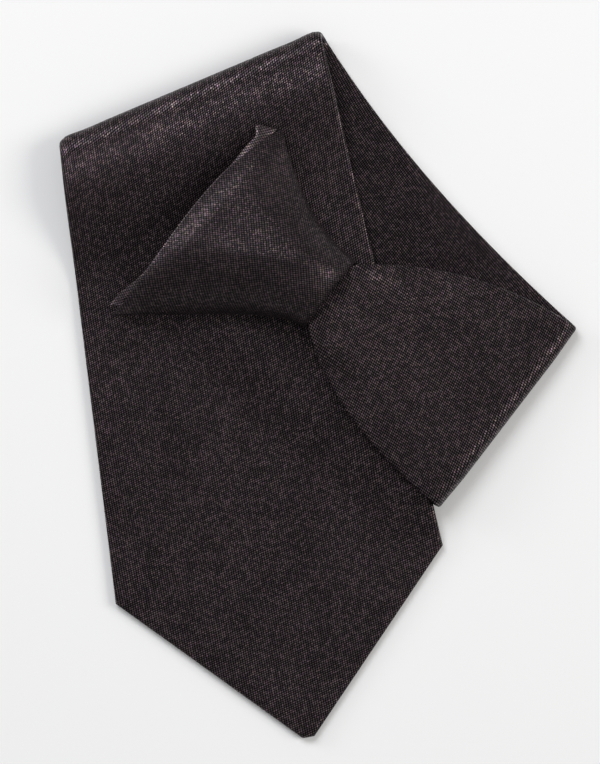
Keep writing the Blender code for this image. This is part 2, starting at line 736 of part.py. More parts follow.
def clip_lever(look, group, cutters):
    """Sprung lever: a toothed jaw towards the neck, a thumb tab towards the knot's top."""
    under_coil = HINGE_Z - SPRING_COIL_RADIUS - SPRING_WIRE_RADIUS - CLEARANCE - CLIP_STEEL / 2
    bite = PLATE_LOW - CLEARANCE - CLIP_STEEL / 2
    profile = [
        (LEVER_JAW_END, bite),
        (LEVER_JAW_END + LEVER_JAW_LIP, bite - LEVER_JAW_LIP),
        (HINGE_UP - LEVER_BEND_BEFORE, under_coil + LEVER_JAW_RISE),
        (HINGE_UP, under_coil),
        (HINGE_UP + LEVER_BEND_AFTER, under_coil - LEVER_TAB_FALL),
        (LEVER_TAB_END, KNOT_REST + LEVER_TAB_HEIGHT),
    ]
    half = BASE_HALF_WIDTH - 2 * CLIP_STEEL - CLEARANCE
    outer = half + CLIP_STEEL
    lever = plate_along("clip_lever", profile, outer, look, group)
    for side in (-1, 1):
        low, high = sorted((side * half, side * (outer - BEND_PROUD)))
        cheek = box(f"cheek_{side}", (HINGE_UP - CHEEK_HALF_LENGTH, low, under_coil - CLIP_STEEL / 4),
                    (HINGE_UP + CHEEK_HALF_LENGTH, high, HINGE_Z + CHEEK_TOP), None, cutters)
        boolean(lever, cheek, "UNION")
    hole = across_bar("cheek_holes", PIN_RADIUS + PIN_CLEARANCE, BASE_HALF_WIDTH * 1.5, None, cutters)
    boolean(lever, hole, "DIFFERENCE")
    pitch = 2 * outer / LEVER_TEETH
    half_notch = pitch * LEVER_NOTCH_HALF
    for i in range(LEVER_TEETH - 1):
        out = -outer + pitch * (i + 1)
        notch = box(f"notch_{i}", (LEVER_JAW_END - CLIP_STEEL, out - half_notch, bite - CLIP_STEEL),
                    (LEVER_JAW_END + LEVER_NOTCH_DEPTH, out + half_notch, bite + CLIP_STEEL),
                    None, cutters)
        boolean(lever, notch, "DIFFERENCE")
    return lever


def hinge_pin(look, group, cutters):
    half = BASE_HALF_WIDTH + CLEARANCE
    pin = across_bar("clip_hinge_pin", PIN_RADIUS, half + CLIP_STEEL, look, group)
    sideways = heading(KNOT_HEADING + 90.0)
    for side in (-1, 1):
        out = side * (half + CLIP_STEEL / 2)
        centre = place(knot_place(HINGE_UP, out), HINGE_Z)
        head = cylinder(f"pin_head_{side}", centre, PIN_HEAD_RADIUS, CLIP_STEEL,
                        Vector((sideways.x, sideways.y, 0)), None, cutters)
        boolean(pin, head, "UNION")
    return pin


def spring_points():
    """A torsion spring round the pin: a leg under the base, the coil, a leg on the thumb tab."""
    half = (BASE_HALF_WIDTH - 2 * CLIP_STEEL - 2 * CLEARANCE) * 0.45
    per_turn = 12
    total = int(SPRING_TURNS * per_turn)
    first_leg = PLATE_LOW - CLEARANCE - SPRING_WIRE_RADIUS
    points = [place(knot_place(HINGE_UP + SPRING_BASE_LEG, -half), first_leg)]
    for i in range(total + 1):
        angle = math.pi / 2 + 2 * math.pi * i / per_turn
        up = HINGE_UP + SPRING_COIL_RADIUS * math.cos(angle)
        height = HINGE_Z + SPRING_COIL_RADIUS * math.sin(angle)
        points.append(place(knot_place(up, mix(-half, half, i / total)), height))
    points.append(place(knot_place(HINGE_UP + SPRING_TAB_LEG, half), HINGE_Z - SPRING_TAB_LEG_DROP))
    return points


def rivets(look, group, cutters):
    """Two rivets that hold the clip's base to the former; their shanks end inside it."""
    head_top = PLATE_LOW - CLEARANCE
    shank_top = FORMER_BACK + RIVET_DEPTH
    for i, up in enumerate(RIVET_UPS):
        head = cylinder(f"clip_rivet_{i + 1}", place(knot_place(up, 0.0), head_top - RIVET_HEAD / 2),
                        RIVET_HEAD_RADIUS, RIVET_HEAD, Vector((0, 0, 1)), look, group)
        shank_low = head_top - RIVET_HEAD / 2
        shank = cylinder(f"shank_{i + 1}", place(knot_place(up, 0.0), (shank_low + shank_top) / 2),
                         RIVET_RADIUS, shank_top - shank_low, Vector((0, 0, 1)), None, cutters)
        boolean(head, shank, "UNION")


def knot_former(look, group, cutters):
    """Moulded former: a flat back for the clip, and thin wings under the knot's padding."""
    skin = KNOT_FABRIC + 2 * CLEARANCE + KNOT_PADDING

    def bottom(t, v):
        out = mix(knot_side(-1, t).y, knot_side(1, t).y, (1.0 + v) / 2.0)
        wall_foot = knot_arch(t, v) - under_skin_depth(t, v, skin + FORMER_WALL)
        over_clip = abs(out) < BASE_HALF_WIDTH + FLAP_CLEARANCE
        return FORMER_BACK if over_clip else min(FORMER_BACK, wall_foot)

    former = knot_layer("knot_former", LAYER_START, FORMER_END, FORMER_REACH, skin, bottom, look, group)
    depth = RIVET_DEPTH + CLEARANCE
    for i, up in enumerate(RIVET_UPS):
        drill = cylinder(f"former_hole_{i}", place(knot_place(up, 0.0), FORMER_BACK),
                         RIVET_RADIUS + PIN_CLEARANCE, 2 * depth, Vector((0, 0, 1)), None, cutters)
        boolean(former, drill, "DIFFERENCE")


def knot_padding(look, group):
    start = KNOT_FABRIC + CLEARANCE

    def bottom(t, v):
        return knot_arch(t, v) - under_skin_depth(t, v, start + KNOT_PADDING)

    knot_layer("knot_padding", LAYER_START, PADDING_END, PADDING_REACH, start, bottom, look, group)


def knot_hem(look, group):
    """The lined hem behind the knot's top edge, which shows past it as a second lip."""
    start = KNOT_FABRIC + 2 * CLEARANCE + KNOT_PADDING

    def bottom(t, v):
        return knot_arch(t, v) - under_skin_depth(t, v, start + HEM_THICKNESS)

    knot_layer("knot_top_hem", HEM_START, HEM_END, HEM_REACH, start, bottom, look, group, rows=4)


def care_label(look, group):
    """A blank woven label on the under layer's back."""
    t = 1.0 - LABEL_PLACE
    at = (under_edge(-1, t) + under_edge(1, t)) / 2
    nearby = (under_edge(-1, t + 0.02) + under_edge(1, t + 0.02)) / 2
    along = (nearby - at).normalized() * LABEL_WIDTH / 2
    across = Vector((-along.y, along.x)).normalized() * LABEL_LENGTH / 2
    low = THICKNESS + (LAYER_GAP - LABEL_THICKNESS) / 2
    rings = []
    for height in (low, low + LABEL_THICKNESS):
        corners = [at + along * a + across * b for a, b in ((-1, -1), (1, -1), (1, 1), (-1, 1))]
        rings.append([place(corner, height) for corner in corners])
    loft("care_label", rings, look, group)


def hinge_empty(name, location, parent=None):
    made = bpy.data.objects.new(name, None)
    made.empty_display_size = 0.01
    bpy.context.scene.collection.objects.link(made)
    made.location = location
    bpy.context.view_layer.update()
    if parent:
        adopt(parent, [made])
    return made


def adopt(parent, children):
    bpy.context.view_layer.update()
    for child in children:
        child.parent = parent
        child.matrix_parent_inverse = parent.matrix_world.inverted()


def centre_on_footprint(group):
    """Move everything so that the box's bottom centre is the origin."""
    bpy.context.view_layer.update()
    graph = bpy.context.evaluated_depsgraph_get()
    lows, highs = [], []
    for piece in group.objects:
        mesh = piece.evaluated_get(graph).to_mesh()
        places = [piece.matrix_world @ vert.co for vert in mesh.vertices]
        lows.append([min(p[i] for p in places) for i in range(3)])
        highs.append([max(p[i] for p in places) for i in range(3)])
    low = [min(values) for values in zip(*lows)]
    high = [max(values) for values in zip(*highs)]
    shift = Vector(((low[0] + high[0]) / 2, (low[1] + high[1]) / 2, low[2]))
    for piece in bpy.context.scene.objects:
        if piece.parent is None:
            piece.location -= shift
    bpy.context.view_layer.update()


def build():
    clear_scene()
    group = collection("clip_on_necktie")
    cutters = collection("cutters")

    satin = material("polyester_satin", (0.022, 0.017, 0.018), 0.45)
    knot_satin = material("polyester_satin_knot", (0.024, 0.018, 0.019), 0.42)
    wool = material("brushed_interlining", (0.55, 0.53, 0.49), 0.95)
    lining = material("acetate_lining", (0.016, 0.015, 0.017), 0.35)
    thread = material("sewing_thread", (0.012, 0.011, 0.012), 0.7)
    nylon = material("moulded_nylon", (0.012, 0.012, 0.013), 0.4)
    nickel = material("nickelled_steel", (0.62, 0.61, 0.58), 0.25, 1.0)
    spring_steel = material("spring_steel", (0.40, 0.39, 0.37), 0.35, 1.0)
    woven = material("woven_label", (0.05, 0.05, 0.055), 0.6)

    under = under_rulings(8)
    blade = under + fold_two_rulings(8) + blade_rulings(5, 7, 6)
    neck = neck_rulings(9)
    turn = fold_one_rulings(8)

    envelope("blade_shell", blade, satin, group)
    envelope("neck_shell", neck, satin, group)
    envelope("fold_turn", turn, satin, group)

    def front_of_wool(v):
        return half_thickness(v) - FABRIC - CLEARANCE

    def back_of_wool(v):
        return front_of_wool(v) - INTERLINING

    def front_of_lining(v):
        return back_of_wool(v) - CLEARANCE

    def back_of_lining(v):
        return front_of_lining(v) - LINING_THICKNESS

    slab("blade_interlining", blade[:-1], back_of_wool, front_of_wool, 1, wool, group)
    slab("neck_interlining", neck, back_of_wool, front_of_wool, 1, wool, group)
    slab("fold_interlining", turn, back_of_wool, front_of_wool, 1, wool, group)
    slab("tip_lining", blade[-7:-1], back_of_lining, front_of_lining, 2, lining, group)

    seam_thread("blade_seam_thread", blade[:-4], thread, group)
    seam_thread("neck_seam_thread", neck[1:], thread, group)

    knot_wrap(knot_satin, group)
    knot_padding(wool, group)
    knot_former(nylon, group, cutters)
    knot_hem(knot_satin, group)
    clip_base(nickel, group, cutters)
    lever = clip_lever(nickel, group, cutters)
    hinge_pin(nickel, group, cutters)
    wire("clip_spring", spring_points(), SPRING_WIRE_RADIUS, spring_steel, group)
    rivets(nickel, group, cutters)
    care_label(woven, group)

    roll = (FOLD_ONE_RISE_LEFT + FOLD_ONE_RISE_RIGHT) / 4.0
    axis_point = FOLD_ONE_MIDDLE - FOLD_ONE_OUT * (HALF + roll)
    fold_hinge = hinge_empty("display_fold_axis", place(axis_point, HALF + roll))
    clip_hinge = hinge_empty("clip_hinge_axis", place(knot_place(HINGE_UP, 0.0), HINGE_Z),
                             fold_hinge)
    knot_end = [p for p in group.objects if p.name.startswith(("neck", "knot", "clip")) and p != lever]
    adopt(fold_hinge, knot_end)
    adopt(clip_hinge, [lever])
    centre_on_footprint(group)


build()
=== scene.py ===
import json
import math

import bpy
import numpy as np
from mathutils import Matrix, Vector


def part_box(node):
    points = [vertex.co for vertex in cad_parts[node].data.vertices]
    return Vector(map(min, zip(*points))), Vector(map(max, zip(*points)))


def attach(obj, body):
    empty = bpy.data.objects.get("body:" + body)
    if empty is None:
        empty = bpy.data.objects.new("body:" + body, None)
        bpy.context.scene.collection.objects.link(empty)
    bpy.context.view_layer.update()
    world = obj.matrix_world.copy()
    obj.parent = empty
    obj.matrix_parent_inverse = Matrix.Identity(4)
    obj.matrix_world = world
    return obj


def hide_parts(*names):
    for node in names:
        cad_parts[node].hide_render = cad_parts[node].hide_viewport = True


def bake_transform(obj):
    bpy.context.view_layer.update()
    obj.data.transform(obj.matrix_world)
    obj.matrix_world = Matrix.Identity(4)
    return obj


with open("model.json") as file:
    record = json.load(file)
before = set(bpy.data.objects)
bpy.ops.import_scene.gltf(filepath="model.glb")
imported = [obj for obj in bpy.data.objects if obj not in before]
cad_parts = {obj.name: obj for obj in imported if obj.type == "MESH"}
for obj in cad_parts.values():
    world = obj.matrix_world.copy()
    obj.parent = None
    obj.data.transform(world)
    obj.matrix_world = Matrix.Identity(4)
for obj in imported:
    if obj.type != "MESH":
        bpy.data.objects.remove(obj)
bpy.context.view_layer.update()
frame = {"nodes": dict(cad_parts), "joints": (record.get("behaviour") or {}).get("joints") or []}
nodes = frame["nodes"]
print("frame loaded:", len(nodes), "nodes")


def smooth(t):
    t = np.clip(t, 0.0, 1.0)
    return t * t * (3.0 - 2.0 * t)


def mix(a, b, t):
    return a + (b - a) * t


def heading(degrees):
    angle = math.radians(degrees)
    return np.array((math.cos(angle), math.sin(angle)))


def bezier(points, t):
    a, b, c, d = (np.asarray(p, float) for p in points)
    t = np.asarray(t, float)[..., None]
    s = 1.0 - t
    return a * s**3 + 3 * b * s * s * t + 3 * c * s * t * t + d * t**3


def headingCurve(start, startHeading, end, endHeading, t):
    handle = np.linalg.norm(end - start) / 3.0
    return bezier((start, start + heading(startHeading) * handle,
                   end - heading(endHeading) * handle, end), t)


def unit(vectors):
    return vectors / np.maximum(np.linalg.norm(vectors, axis=-1, keepdims=True), 1e-12)


def waves(plan, size):
    # gentle unevenness of cloth that has lain folded, from -1 to 1
    x, y = plan[..., 0] / size, plan[..., 1] / size
    return (np.sin(2.1 * x + 0.9 * np.sin(1.3 * y) + 0.4) * np.sin(1.7 * y + 0.8 * np.sin(1.9 * x) + 1.1)
            + 0.5 * np.sin(3.7 * x - 2.3 * y + 2.0)) / 1.5


def meshPiece(name, points, faces, uv=None):
    mesh = bpy.data.meshes.new(name)
    mesh.from_pydata([tuple(p) for p in points], [], faces)
    if uv is not None:
        layer = mesh.uv_layers.new(name="clothUv")
        corners = np.zeros(len(mesh.loops), np.int32)
        mesh.loops.foreach_get("vertex_index", corners)
        layer.data.foreach_set("uv", np.asarray(uv, np.float32)[corners].ravel())
    mesh.update()
    mesh.shade_smooth()
    made = bpy.data.objects.new(name, mesh)
    bpy.context.scene.collection.objects.link(made)
    return made


def gridPiece(name, points, uv, wall=None, rim=None, offset=-1.0):
    # an open sheet of cloth; wall is its thickness, rim the rounding of its cut or turned edges
    rows, columns = points.shape[:2]
    k, j = np.meshgrid(np.arange(rows - 1), np.arange(columns - 1), indexing="ij")
    a = (k * columns + j).ravel()
    faces = np.stack((a, a + columns, a + columns + 1, a + 1), axis=1).tolist()
    made = meshPiece(name, points.reshape(-1, 3), faces, uv.reshape(-1, 2))
    if wall:
        solid = made.modifiers.new("wall", "SOLIDIFY")
        solid.thickness, solid.offset = wall, offset
    if rim:
        made.data.set_sharp_from_angle(angle=math.radians(60))
        bevel = made.modifiers.new("rim", "BEVEL")
        bevel.width, bevel.segments, bevel.limit_method = rim, 3, "ANGLE"
        bevel.angle_limit = math.radians(60)
    return made


def loftPiece(name, rings, uvScale=1000.0):
    # a closed body through rings of equal length, capped at both ends
    rings = np.asarray(rings, float)
    count, size = rings.shape[:2]
    faces = []
    for i in range(count - 1):
        for j in range(size):
            n = (j + 1) % size
            faces.append((i * size + j, i * size + n, (i + 1) * size + n, (i + 1) * size + j))
    faces.append(tuple(reversed(range(size))))
    faces.append(tuple(range((count - 1) * size, count * size)))
    points = rings.reshape(-1, 3)
    made = meshPiece(name, points, faces, points[:, :2] * uvScale)
    if signedVolume(made.data) < 0:
        made.data.flip_normals()
    made.data.set_sharp_from_angle(angle=math.radians(50))
    return made


def signedVolume(mesh):
    mesh.calc_loop_triangles()
    spots = np.zeros(len(mesh.vertices) * 3, np.float32)
    mesh.vertices.foreach_get("co", spots)
    corners = np.zeros(len(mesh.loop_triangles) * 3, np.int32)
    mesh.loop_triangles.foreach_get("vertices", corners)
    a, b, c = spots.reshape(-1, 3)[corners].reshape(-1, 3, 3).transpose(1, 0, 2)
    return float(np.einsum("ij,ij->i", a, np.cross(b, c)).sum())


def hexColour(code):
    # sRGB hex to linear
    values = [int(code[i:i + 2], 16) / 255.0 for i in (1, 3, 5)]
    return tuple(v / 12.92 if v <= 0.04045 else ((v + 0.055) / 1.055) ** 2.4 for v in values) + (1.0,)


def addNode(tree, kind, links=None, values=None, **settings):
    # links: input -> (source node, its output); values: input -> value; settings: the node's own
    node = tree.nodes.new(kind)
    for name, value in settings.items():
        setattr(node, name, value)
    for name, value in (values or {}).items():
        node.inputs[name].default_value = value
    for name, (source, output) in (links or {}).items():
        tree.links.new(source.outputs[output], node.inputs[name])
    return node


def addMath(tree, operation, *terms):
    # each term is a number or (node, output)
    links = {i: t for i, t in enumerate(terms) if isinstance(t, tuple)}
    values = {i: t for i, t in enumerate(terms) if not isinstance(t, tuple)}
    return addNode(tree, "ShaderNodeMath", links, values, operation=operation), "Value"


def addRange(tree, source, low, high, newLow, newHigh):
    return addNode(tree, "ShaderNodeMapRange", {"Value": source},
                   {"From Min": low, "From Max": high, "To Min": newLow, "To Max": newHigh}), "Result"


def addBlend(tree, share, first, second, blendType="MIX"):
    # first and second are a hex colour or (node, output)
    links, values = {}, {}
    for slotIndex, term in ((0, share), (6, first), (7, second)):
        if isinstance(term, tuple):
            links[slotIndex] = term
        else:
            values[slotIndex] = hexColour(term) if isinstance(term, str) else term
    return addNode(tree, "ShaderNodeMix", links, values, data_type="RGBA", blend_type=blendType), 2


def useInput(tree, shader, name, source):
    tree.links.new(source[0].outputs[source[1]], shader.inputs[name])


def newMaterial(name):
    made = bpy.data.materials.new(name)
    made.use_nodes = True
    tree = made.node_tree
    return made, tree, tree.nodes["Principled BSDF"]


# Polyester satin: fine continuous yarns woven tight and pressed. The eye gets a nearly black
# brown cloth with thin ribs and points of light where a float of yarn turns to the lamp.
# The ribs are drawn 0.6 mm apart, coarse enough to show; the real yarns may well lie closer.
def satin(name, look):
    made, tree, shader = newMaterial(name)
    uv = addNode(tree, "ShaderNodeUVMap", uv_map="clothUv"), "UV"
    turned = addNode(tree, "ShaderNodeMapping", {"Vector": uv},
                     {"Rotation": (0, 0, math.radians(look["ribHeading"]))}), "Vector"
    laid = addNode(tree, "ShaderNodeMapping", {"Vector": turned},
                   {"Scale": (1 / look["ribSpacing"], 1 / look["floatLength"], 1.0)}), "Vector"
    yarns = addNode(tree, "ShaderNodeTexVoronoi", {"Vector": laid}, {"Scale": 1.0, "Randomness": 0.9},
                    voronoi_dimensions="2D")
    chance = addNode(tree, "ShaderNodeSeparateColor", {"Color": (yarns, "Color")}), "Red"
    glint = addMath(tree, "POWER", chance, look["glintPower"])
    unsteady = {"Distortion": 0.7, "Detail": 1.0, "Detail Scale": 1.2}
    ribs = addNode(tree, "ShaderNodeTexWave", {"Vector": turned},
                   {"Scale": 0.314 / look["ribSpacing"], **unsteady}, bands_direction="X"), "Fac"
    leaning = addNode(tree, "ShaderNodeMapping", {"Vector": turned},
                      {"Rotation": (0, 0, math.radians(look["floatLean"]))}), "Vector"
    floats = addNode(tree, "ShaderNodeTexWave", {"Vector": leaning},
                     {"Scale": 0.314 / look["floatLength"], **unsteady}, bands_direction="Y"), "Fac"
    drift = addNode(tree, "ShaderNodeTexNoise", {"Vector": uv}, {"Scale": 1 / 14.0, "Detail": 3.0},
                    noise_dimensions="2D"), "Fac"                    # uneven pressing, 14 mm
    # painted glints: the bright yarn cells raise the base colour as well as the gloss, standing in for
    # sparkle under the lamps
    tone = addMath(tree, "MULTIPLY_ADD", glint, look["glint"], look["ground"])
    for band in (ribs, floats):
        swing = addRange(tree, band, 0.0, 1.0, 1 - look["rib"], 1 + look["rib"])
        tone = addMath(tree, "MULTIPLY", tone, swing)
    tone = addMath(tree, "MULTIPLY", tone, addRange(tree, drift, 0.3, 0.7, 0.9, 1.1))
    # painted shade: the back of a fold is seen against the lie of its floats and catches less light, so
    # its colour and gloss are darkened here
    paintedShadeOnBack = addNode(tree, "ShaderNodeAttribute", attribute_name="paintedShadeOnBack"), "Fac"
    shade = addRange(tree, paintedShadeOnBack, 0.0, 1.0, 1.0, look["paintedBackShade"])
    tone = addMath(tree, "MULTIPLY", tone, shade)
    useInput(tree, shader, "Base Color", addBlend(tree, 1.0, look["colour"], tone, "MULTIPLY"))
    useInput(tree, shader, "Specular IOR Level", addMath(tree, "MULTIPLY", tone, look["gloss"]))
    useInput(tree, shader, "Roughness",
             addRange(tree, glint, 0.0, 1.0, look["rough"] + 0.03, look["rough"] - 0.08))
    hollows = addMath(tree, "MULTIPLY", (yarns, "Distance"), -0.6)
    relief = addMath(tree, "MULTIPLY_ADD", ribs, 0.7, hollows)
    bump = addNode(tree, "ShaderNodeBump", {"Height": relief},
                   {"Strength": look["relief"], "Distance": 0.00012})
    useInput(tree, shader, "Normal", (bump, "Normal"))
    shader.inputs["IOR"].default_value = 1.5
    # the dye takes a little differently from yarn to yarn
    tint = addBlend(tree, look["dyeDrift"], "#ffe4ec", (yarns, "Color"))
    useInput(tree, shader, "Specular Tint", tint)
    shader.inputs["Sheen Weight"].default_value = look["sheen"]
    shader.inputs["Sheen Roughness"].default_value = 0.35
    shader.inputs["Sheen Tint"].default_value = hexColour("#c2b4bb")
    return made


# the back factor below is painted shade, darkening the turned back of a fold
bladeLook = dict(colour="#1c1719", ribHeading=0.0, ribSpacing=0.60, floatLength=0.54, floatLean=14.0,
                 glintPower=2.6, ground=0.62, glint=1.5, rib=0.88, paintedBackShade=0.76,
                 rough=0.38, gloss=0.39, sheen=0.02, relief=0.35, dyeDrift=0.2)
knotLook = dict(bladeLook, ribHeading=52.0, ribSpacing=0.62, glint=0.9, rib=0.62, rough=0.42)
satinMaterial = satin("polyesterSatinWoven", bladeLook)
knotMaterial = satin("polyesterSatinOnBias", knotLook)
# Painted highlight: the knot's back layer faces up towards the lamps on the left, so this copy of the
# knot's satin has a lighter ground and more gloss for the light it catches.
hemPaintedHighlightMaterial = satin("polyesterSatinHemPaintedHighlight", dict(knotLook, gloss=0.85, ground=0.85, rough=0.36))


# Brushed wool-blend interlining: carded and pressed fibre. Matt off-white with a loose nap.
def fibreFelt(name, pale, dim, size):
    made, tree, shader = newMaterial(name)
    spot = addNode(tree, "ShaderNodeTexCoord"), "Object"
    nap = addNode(tree, "ShaderNodeTexNoise", {"Vector": spot},
                  {"Scale": 1000.0 / size, "Detail": 4.0, "Roughness": 0.7}), "Fac"
    useInput(tree, shader, "Base Color", addBlend(tree, nap, dim, pale))
    bump = addNode(tree, "ShaderNodeBump", {"Height": nap}, {"Strength": 0.8, "Distance": 0.0002})
    useInput(tree, shader, "Normal", (bump, "Normal"))
    shader.inputs["Roughness"].default_value = 0.95
    shader.inputs["Specular IOR Level"].default_value = 0.15
    return made


feltMaterial = fibreFelt("brushedWoolInterlining", "#cfc8ba", "#a39b8b", 0.5)

# Acetate lining: thin filament twill, calendered. Smoother and a little shinier than the satin.
liningMaterial = satin("acetateLiningTwill", dict(
    bladeLook, ribHeading=60.0, ribSpacing=0.5, glint=0.8, rough=0.34, gloss=0.4))
# Woven polyester taffeta of the label: flat and even, dark grey, with a dry surface.
labelMaterial = satin("wovenLabelTaffeta", dict(
    bladeLook, ribSpacing=0.5, colour="#5a5a63", glint=0.5, rough=0.6))


# Spun polyester sewing thread: two twisted plies, waxed. Dull black with a fine twist.
def twistedThread(name):
    made, tree, shader = newMaterial(name)
    spot = addNode(tree, "ShaderNodeTexCoord"), "Object"
    twist = addNode(tree, "ShaderNodeTexWave", {"Vector": spot},
                    {"Scale": 314.0 / 0.4, "Distortion": 0.5}, bands_direction="DIAGONAL"), "Fac"
    useInput(tree, shader, "Base Color", addBlend(tree, twist, "#0e0c0d", "#2a2527"))
    shader.inputs["Roughness"].default_value = 0.6
    shader.inputs["Specular IOR Level"].default_value = 0.3
    return made


threadMaterial = twistedThread("spunPolyesterThread")


# Nickel-plated pressed steel: bright, with fine drawing lines and a few handling marks.
def platedSteel(name, colour, rough, lineSize):
    made, tree, shader = newMaterial(name)
    spot = addNode(tree, "ShaderNodeTexCoord"), "Object"
    # the lines run along the clip; the marks are 3 mm across
    drawn = addNode(tree, "ShaderNodeMapping", {"Vector": spot},
                    {"Rotation": (0, 0, math.radians(-42.8)), "Scale": (1.0, 0.04, 1.0)}), "Vector"
    lines = addNode(tree, "ShaderNodeTexNoise", {"Vector": drawn},
                    {"Scale": 1000.0 / lineSize, "Detail": 3.0}), "Fac"
    marks = addNode(tree, "ShaderNodeTexNoise", {"Vector": spot},
                    {"Scale": 1000.0 / 3.0, "Detail": 4.0}), "Fac"
    wear = addMath(tree, "MULTIPLY", lines, marks)
    useInput(tree, shader, "Roughness", addRange(tree, wear, 0.12, 0.42, rough - 0.02, rough + 0.05))
    useInput(tree, shader, "Base Color", addBlend(tree, marks, colour, "#d8d5ce"))
    bump = addNode(tree, "ShaderNodeBump", {"Height": lines}, {"Strength": 0.05, "Distance": 0.00001})
    useInput(tree, shader, "Normal", (bump, "Normal"))
    shader.inputs["Metallic"].default_value = 1.0
    return made


nickelMaterial = platedSteel("nickelPlatedSteel", "#c9c6bf", 0.24, 0.25)
# Drawn spring wire: hard and unplated, greyer than the pressed parts.
springMaterial = platedSteel("drawnSpringWire", "#9c9a95", 0.34, 0.12)


# Moulded nylon: injected in a spark-eroded tool. Black, half matt, with a fine even texture.
def mouldedNylon(name):
    made, tree, shader = newMaterial(name)
    spot = addNode(tree, "ShaderNodeTexCoord"), "Object"
    texture = addNode(tree, "ShaderNodeTexNoise", {"Vector": spot},
                      {"Scale": 1000.0 / 0.4, "Detail": 2.0}), "Fac"
    flow = addNode(tree, "ShaderNodeTexNoise", {"Vector": spot}, {"Scale": 1000.0 / 12.0}), "Fac"
    useInput(tree, shader, "Base Color", addBlend(tree, flow, "#121213", "#1e1e20"))
    bump = addNode(tree, "ShaderNodeBump", {"Height": texture}, {"Strength": 0.4, "Distance": 0.00004})
    useInput(tree, shader, "Normal", (bump, "Normal"))
    shader.inputs["Roughness"].default_value = 0.42
    shader.inputs["IOR"].default_value = 1.53
    return made


nylonMaterial = mouldedNylon("mouldedNylon")

for nodeName, finishMaterial in {
        "knot_former": nylonMaterial, "clip_base": nickelMaterial, "clip_lever": nickelMaterial,
        "clip_hinge_pin": nickelMaterial, "clip_rivet_1": nickelMaterial,
        "clip_rivet_2": nickelMaterial, "clip_spring": springMaterial}.items():
    nodes[nodeName].data.materials.clear()
    nodes[nodeName].data.materials.append(finishMaterial)
print("materials ready")


# The folded strip: under layer, second fold, blade, and from the first fold up to the knot.
tieCut = dict(width=0.0854, tipLength=0.044, bladeLength=0.128, taper=0.057, pointHalfWidth=0.0016,
              thickness=0.0024, edgeThickness=0.0017, flatShare=0.6, fabric=0.0004, seamGap=0.0002,
              layerGap=0.0006, wool=0.0005, woolReach=0.86, woolTurn=0.45, inside=0.0003,
              lining=0.00015, liningReach=0.72)
foldTwo = dict(angle=12.7, rise=0.0064, reach=0.0036, settle=0.034, corner=0.0024,
               rounding=0.0011, proud=0.0006, cornerReach=0.0042, cornerFade=0.0045,
               swell=0.0015, swellReach=0.030, swellLean=0.8)
foldOne = dict(angle=42.3, width=0.0583, riseLeft=0.0066, riseRight=0.0034, lineInset=0.0025,
               rollUp=(0.0203, 0.0184, 1), turnReach=0.0006)
underLayer = dict(pastBlade=0.04093, sweep=15.9, drape=0.014)
neckCut = dict(length=0.0561, heading=135.2, throatWidth=0.0186, flare=42.0, edgeRight=137.0,
               edgeLeft=129.7, entry=0.004, risePower=1.7, throatHeight=0.0143,
               creaseRight=0.0113, creaseLeft=0.0132, creaseDrop=0.0017, creaseFade=0.024,
              creaseStart=0.0015, creaseWidth=0.0055, pinch=0.0006, pinchReach=0.0016,
              knotHeading=132.8)
clothWaves = dict(blade=0.00022, neck=0.0002, size=0.021, fadeIn=0.01)

half = tieCut["thickness"] / 2
upperLayer = tieCut["thickness"] + tieCut["layerGap"] + half
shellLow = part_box("blade_shell")[0]
origin = np.array((shellLow.x + tieCut["width"] / 2,
                   shellLow.y + tieCut["tipLength"] - tieCut["pointHalfWidth"], 0.0))
print("the widest line's middle is at", [round(float(x), 5) for x in origin])


def onBladeEdge(side):
    slope = math.tan(math.radians(foldTwo["angle"]))
    narrow = tieCut["width"] / 2 - tieCut["taper"] * tieCut["bladeLength"]
    x = narrow / (1 + side * tieCut["taper"] * slope)
    return np.array((side * x, tieCut["bladeLength"] + side * x * slope))


foldTwoLeft, foldTwoRight = onBladeEdge(-1), onBladeEdge(1)
foldTwoMiddle = np.array((0.0, tieCut["bladeLength"]))
underHeading = 2 * foldTwo["angle"] - 90.0 + underLayer["sweep"] / 2
underLength = tieCut["width"] / 2 / heading(underHeading)[0] + underLayer["pastBlade"]
foldOneMiddle = foldTwoMiddle + heading(underHeading) * underLength
foldOneLeft = foldOneMiddle - heading(foldOne["angle"]) * foldOne["width"] / 2
foldOneRight = foldOneMiddle + heading(foldOne["angle"]) * foldOne["width"] / 2
throat = foldOneMiddle + heading(neckCut["heading"]) * neckCut["length"]
edgeLean = math.degrees(math.atan(tieCut["taper"]))
foldTwoOut, foldTwoAlong = heading(foldTwo["angle"] + 90), heading(foldTwo["angle"])
foldOneOut, foldOneAlong = heading(foldOne["angle"] - 90), heading(foldOne["angle"])
knotUp, knotOut = heading(neckCut["knotHeading"]), heading(neckCut["knotHeading"] + 90)


def edgeDrift(edgeHeading, along, outward):
    edge = heading(edgeHeading)
    return edge @ along / abs(edge @ outward)


driftTwo = (edgeDrift(-90 - edgeLean, foldTwoAlong, foldTwoOut),
            edgeDrift(-90 + edgeLean, foldTwoAlong, foldTwoOut))
driftOne = (-edgeDrift(neckCut["edgeLeft"], foldOneAlong, foldOneOut),
            -edgeDrift(neckCut["edgeRight"], foldOneAlong, foldOneOut))


def rollSection(left, right, along, outward, drift, reach, rises, low, turns):
    # the strip turning over: turns run from -1, on the knot's side, to 1, on the tip's side
    phase = np.asarray(turns, float) * math.pi / 2
    depth = (half + reach * (1 - np.cos(phase)))[:, None]
    ends = []
    for corner, slide, rise in zip((left, right), drift, rises):
        cloth = (math.pi / 4 * (reach + rise / 2) * np.asarray(turns, float))[:, None]
        ends.append(corner + along * slide * cloth - outward * depth)
    sign = 1.0 if low else -1.0

    def heightOf(plan, v):
        rise = mix(rises[0], rises[1], (1 + v) / 2)
        return half + rise / 2 * (1 + sign * np.sin(phase)[:, None])

    return ends[0], ends[1], heightOf


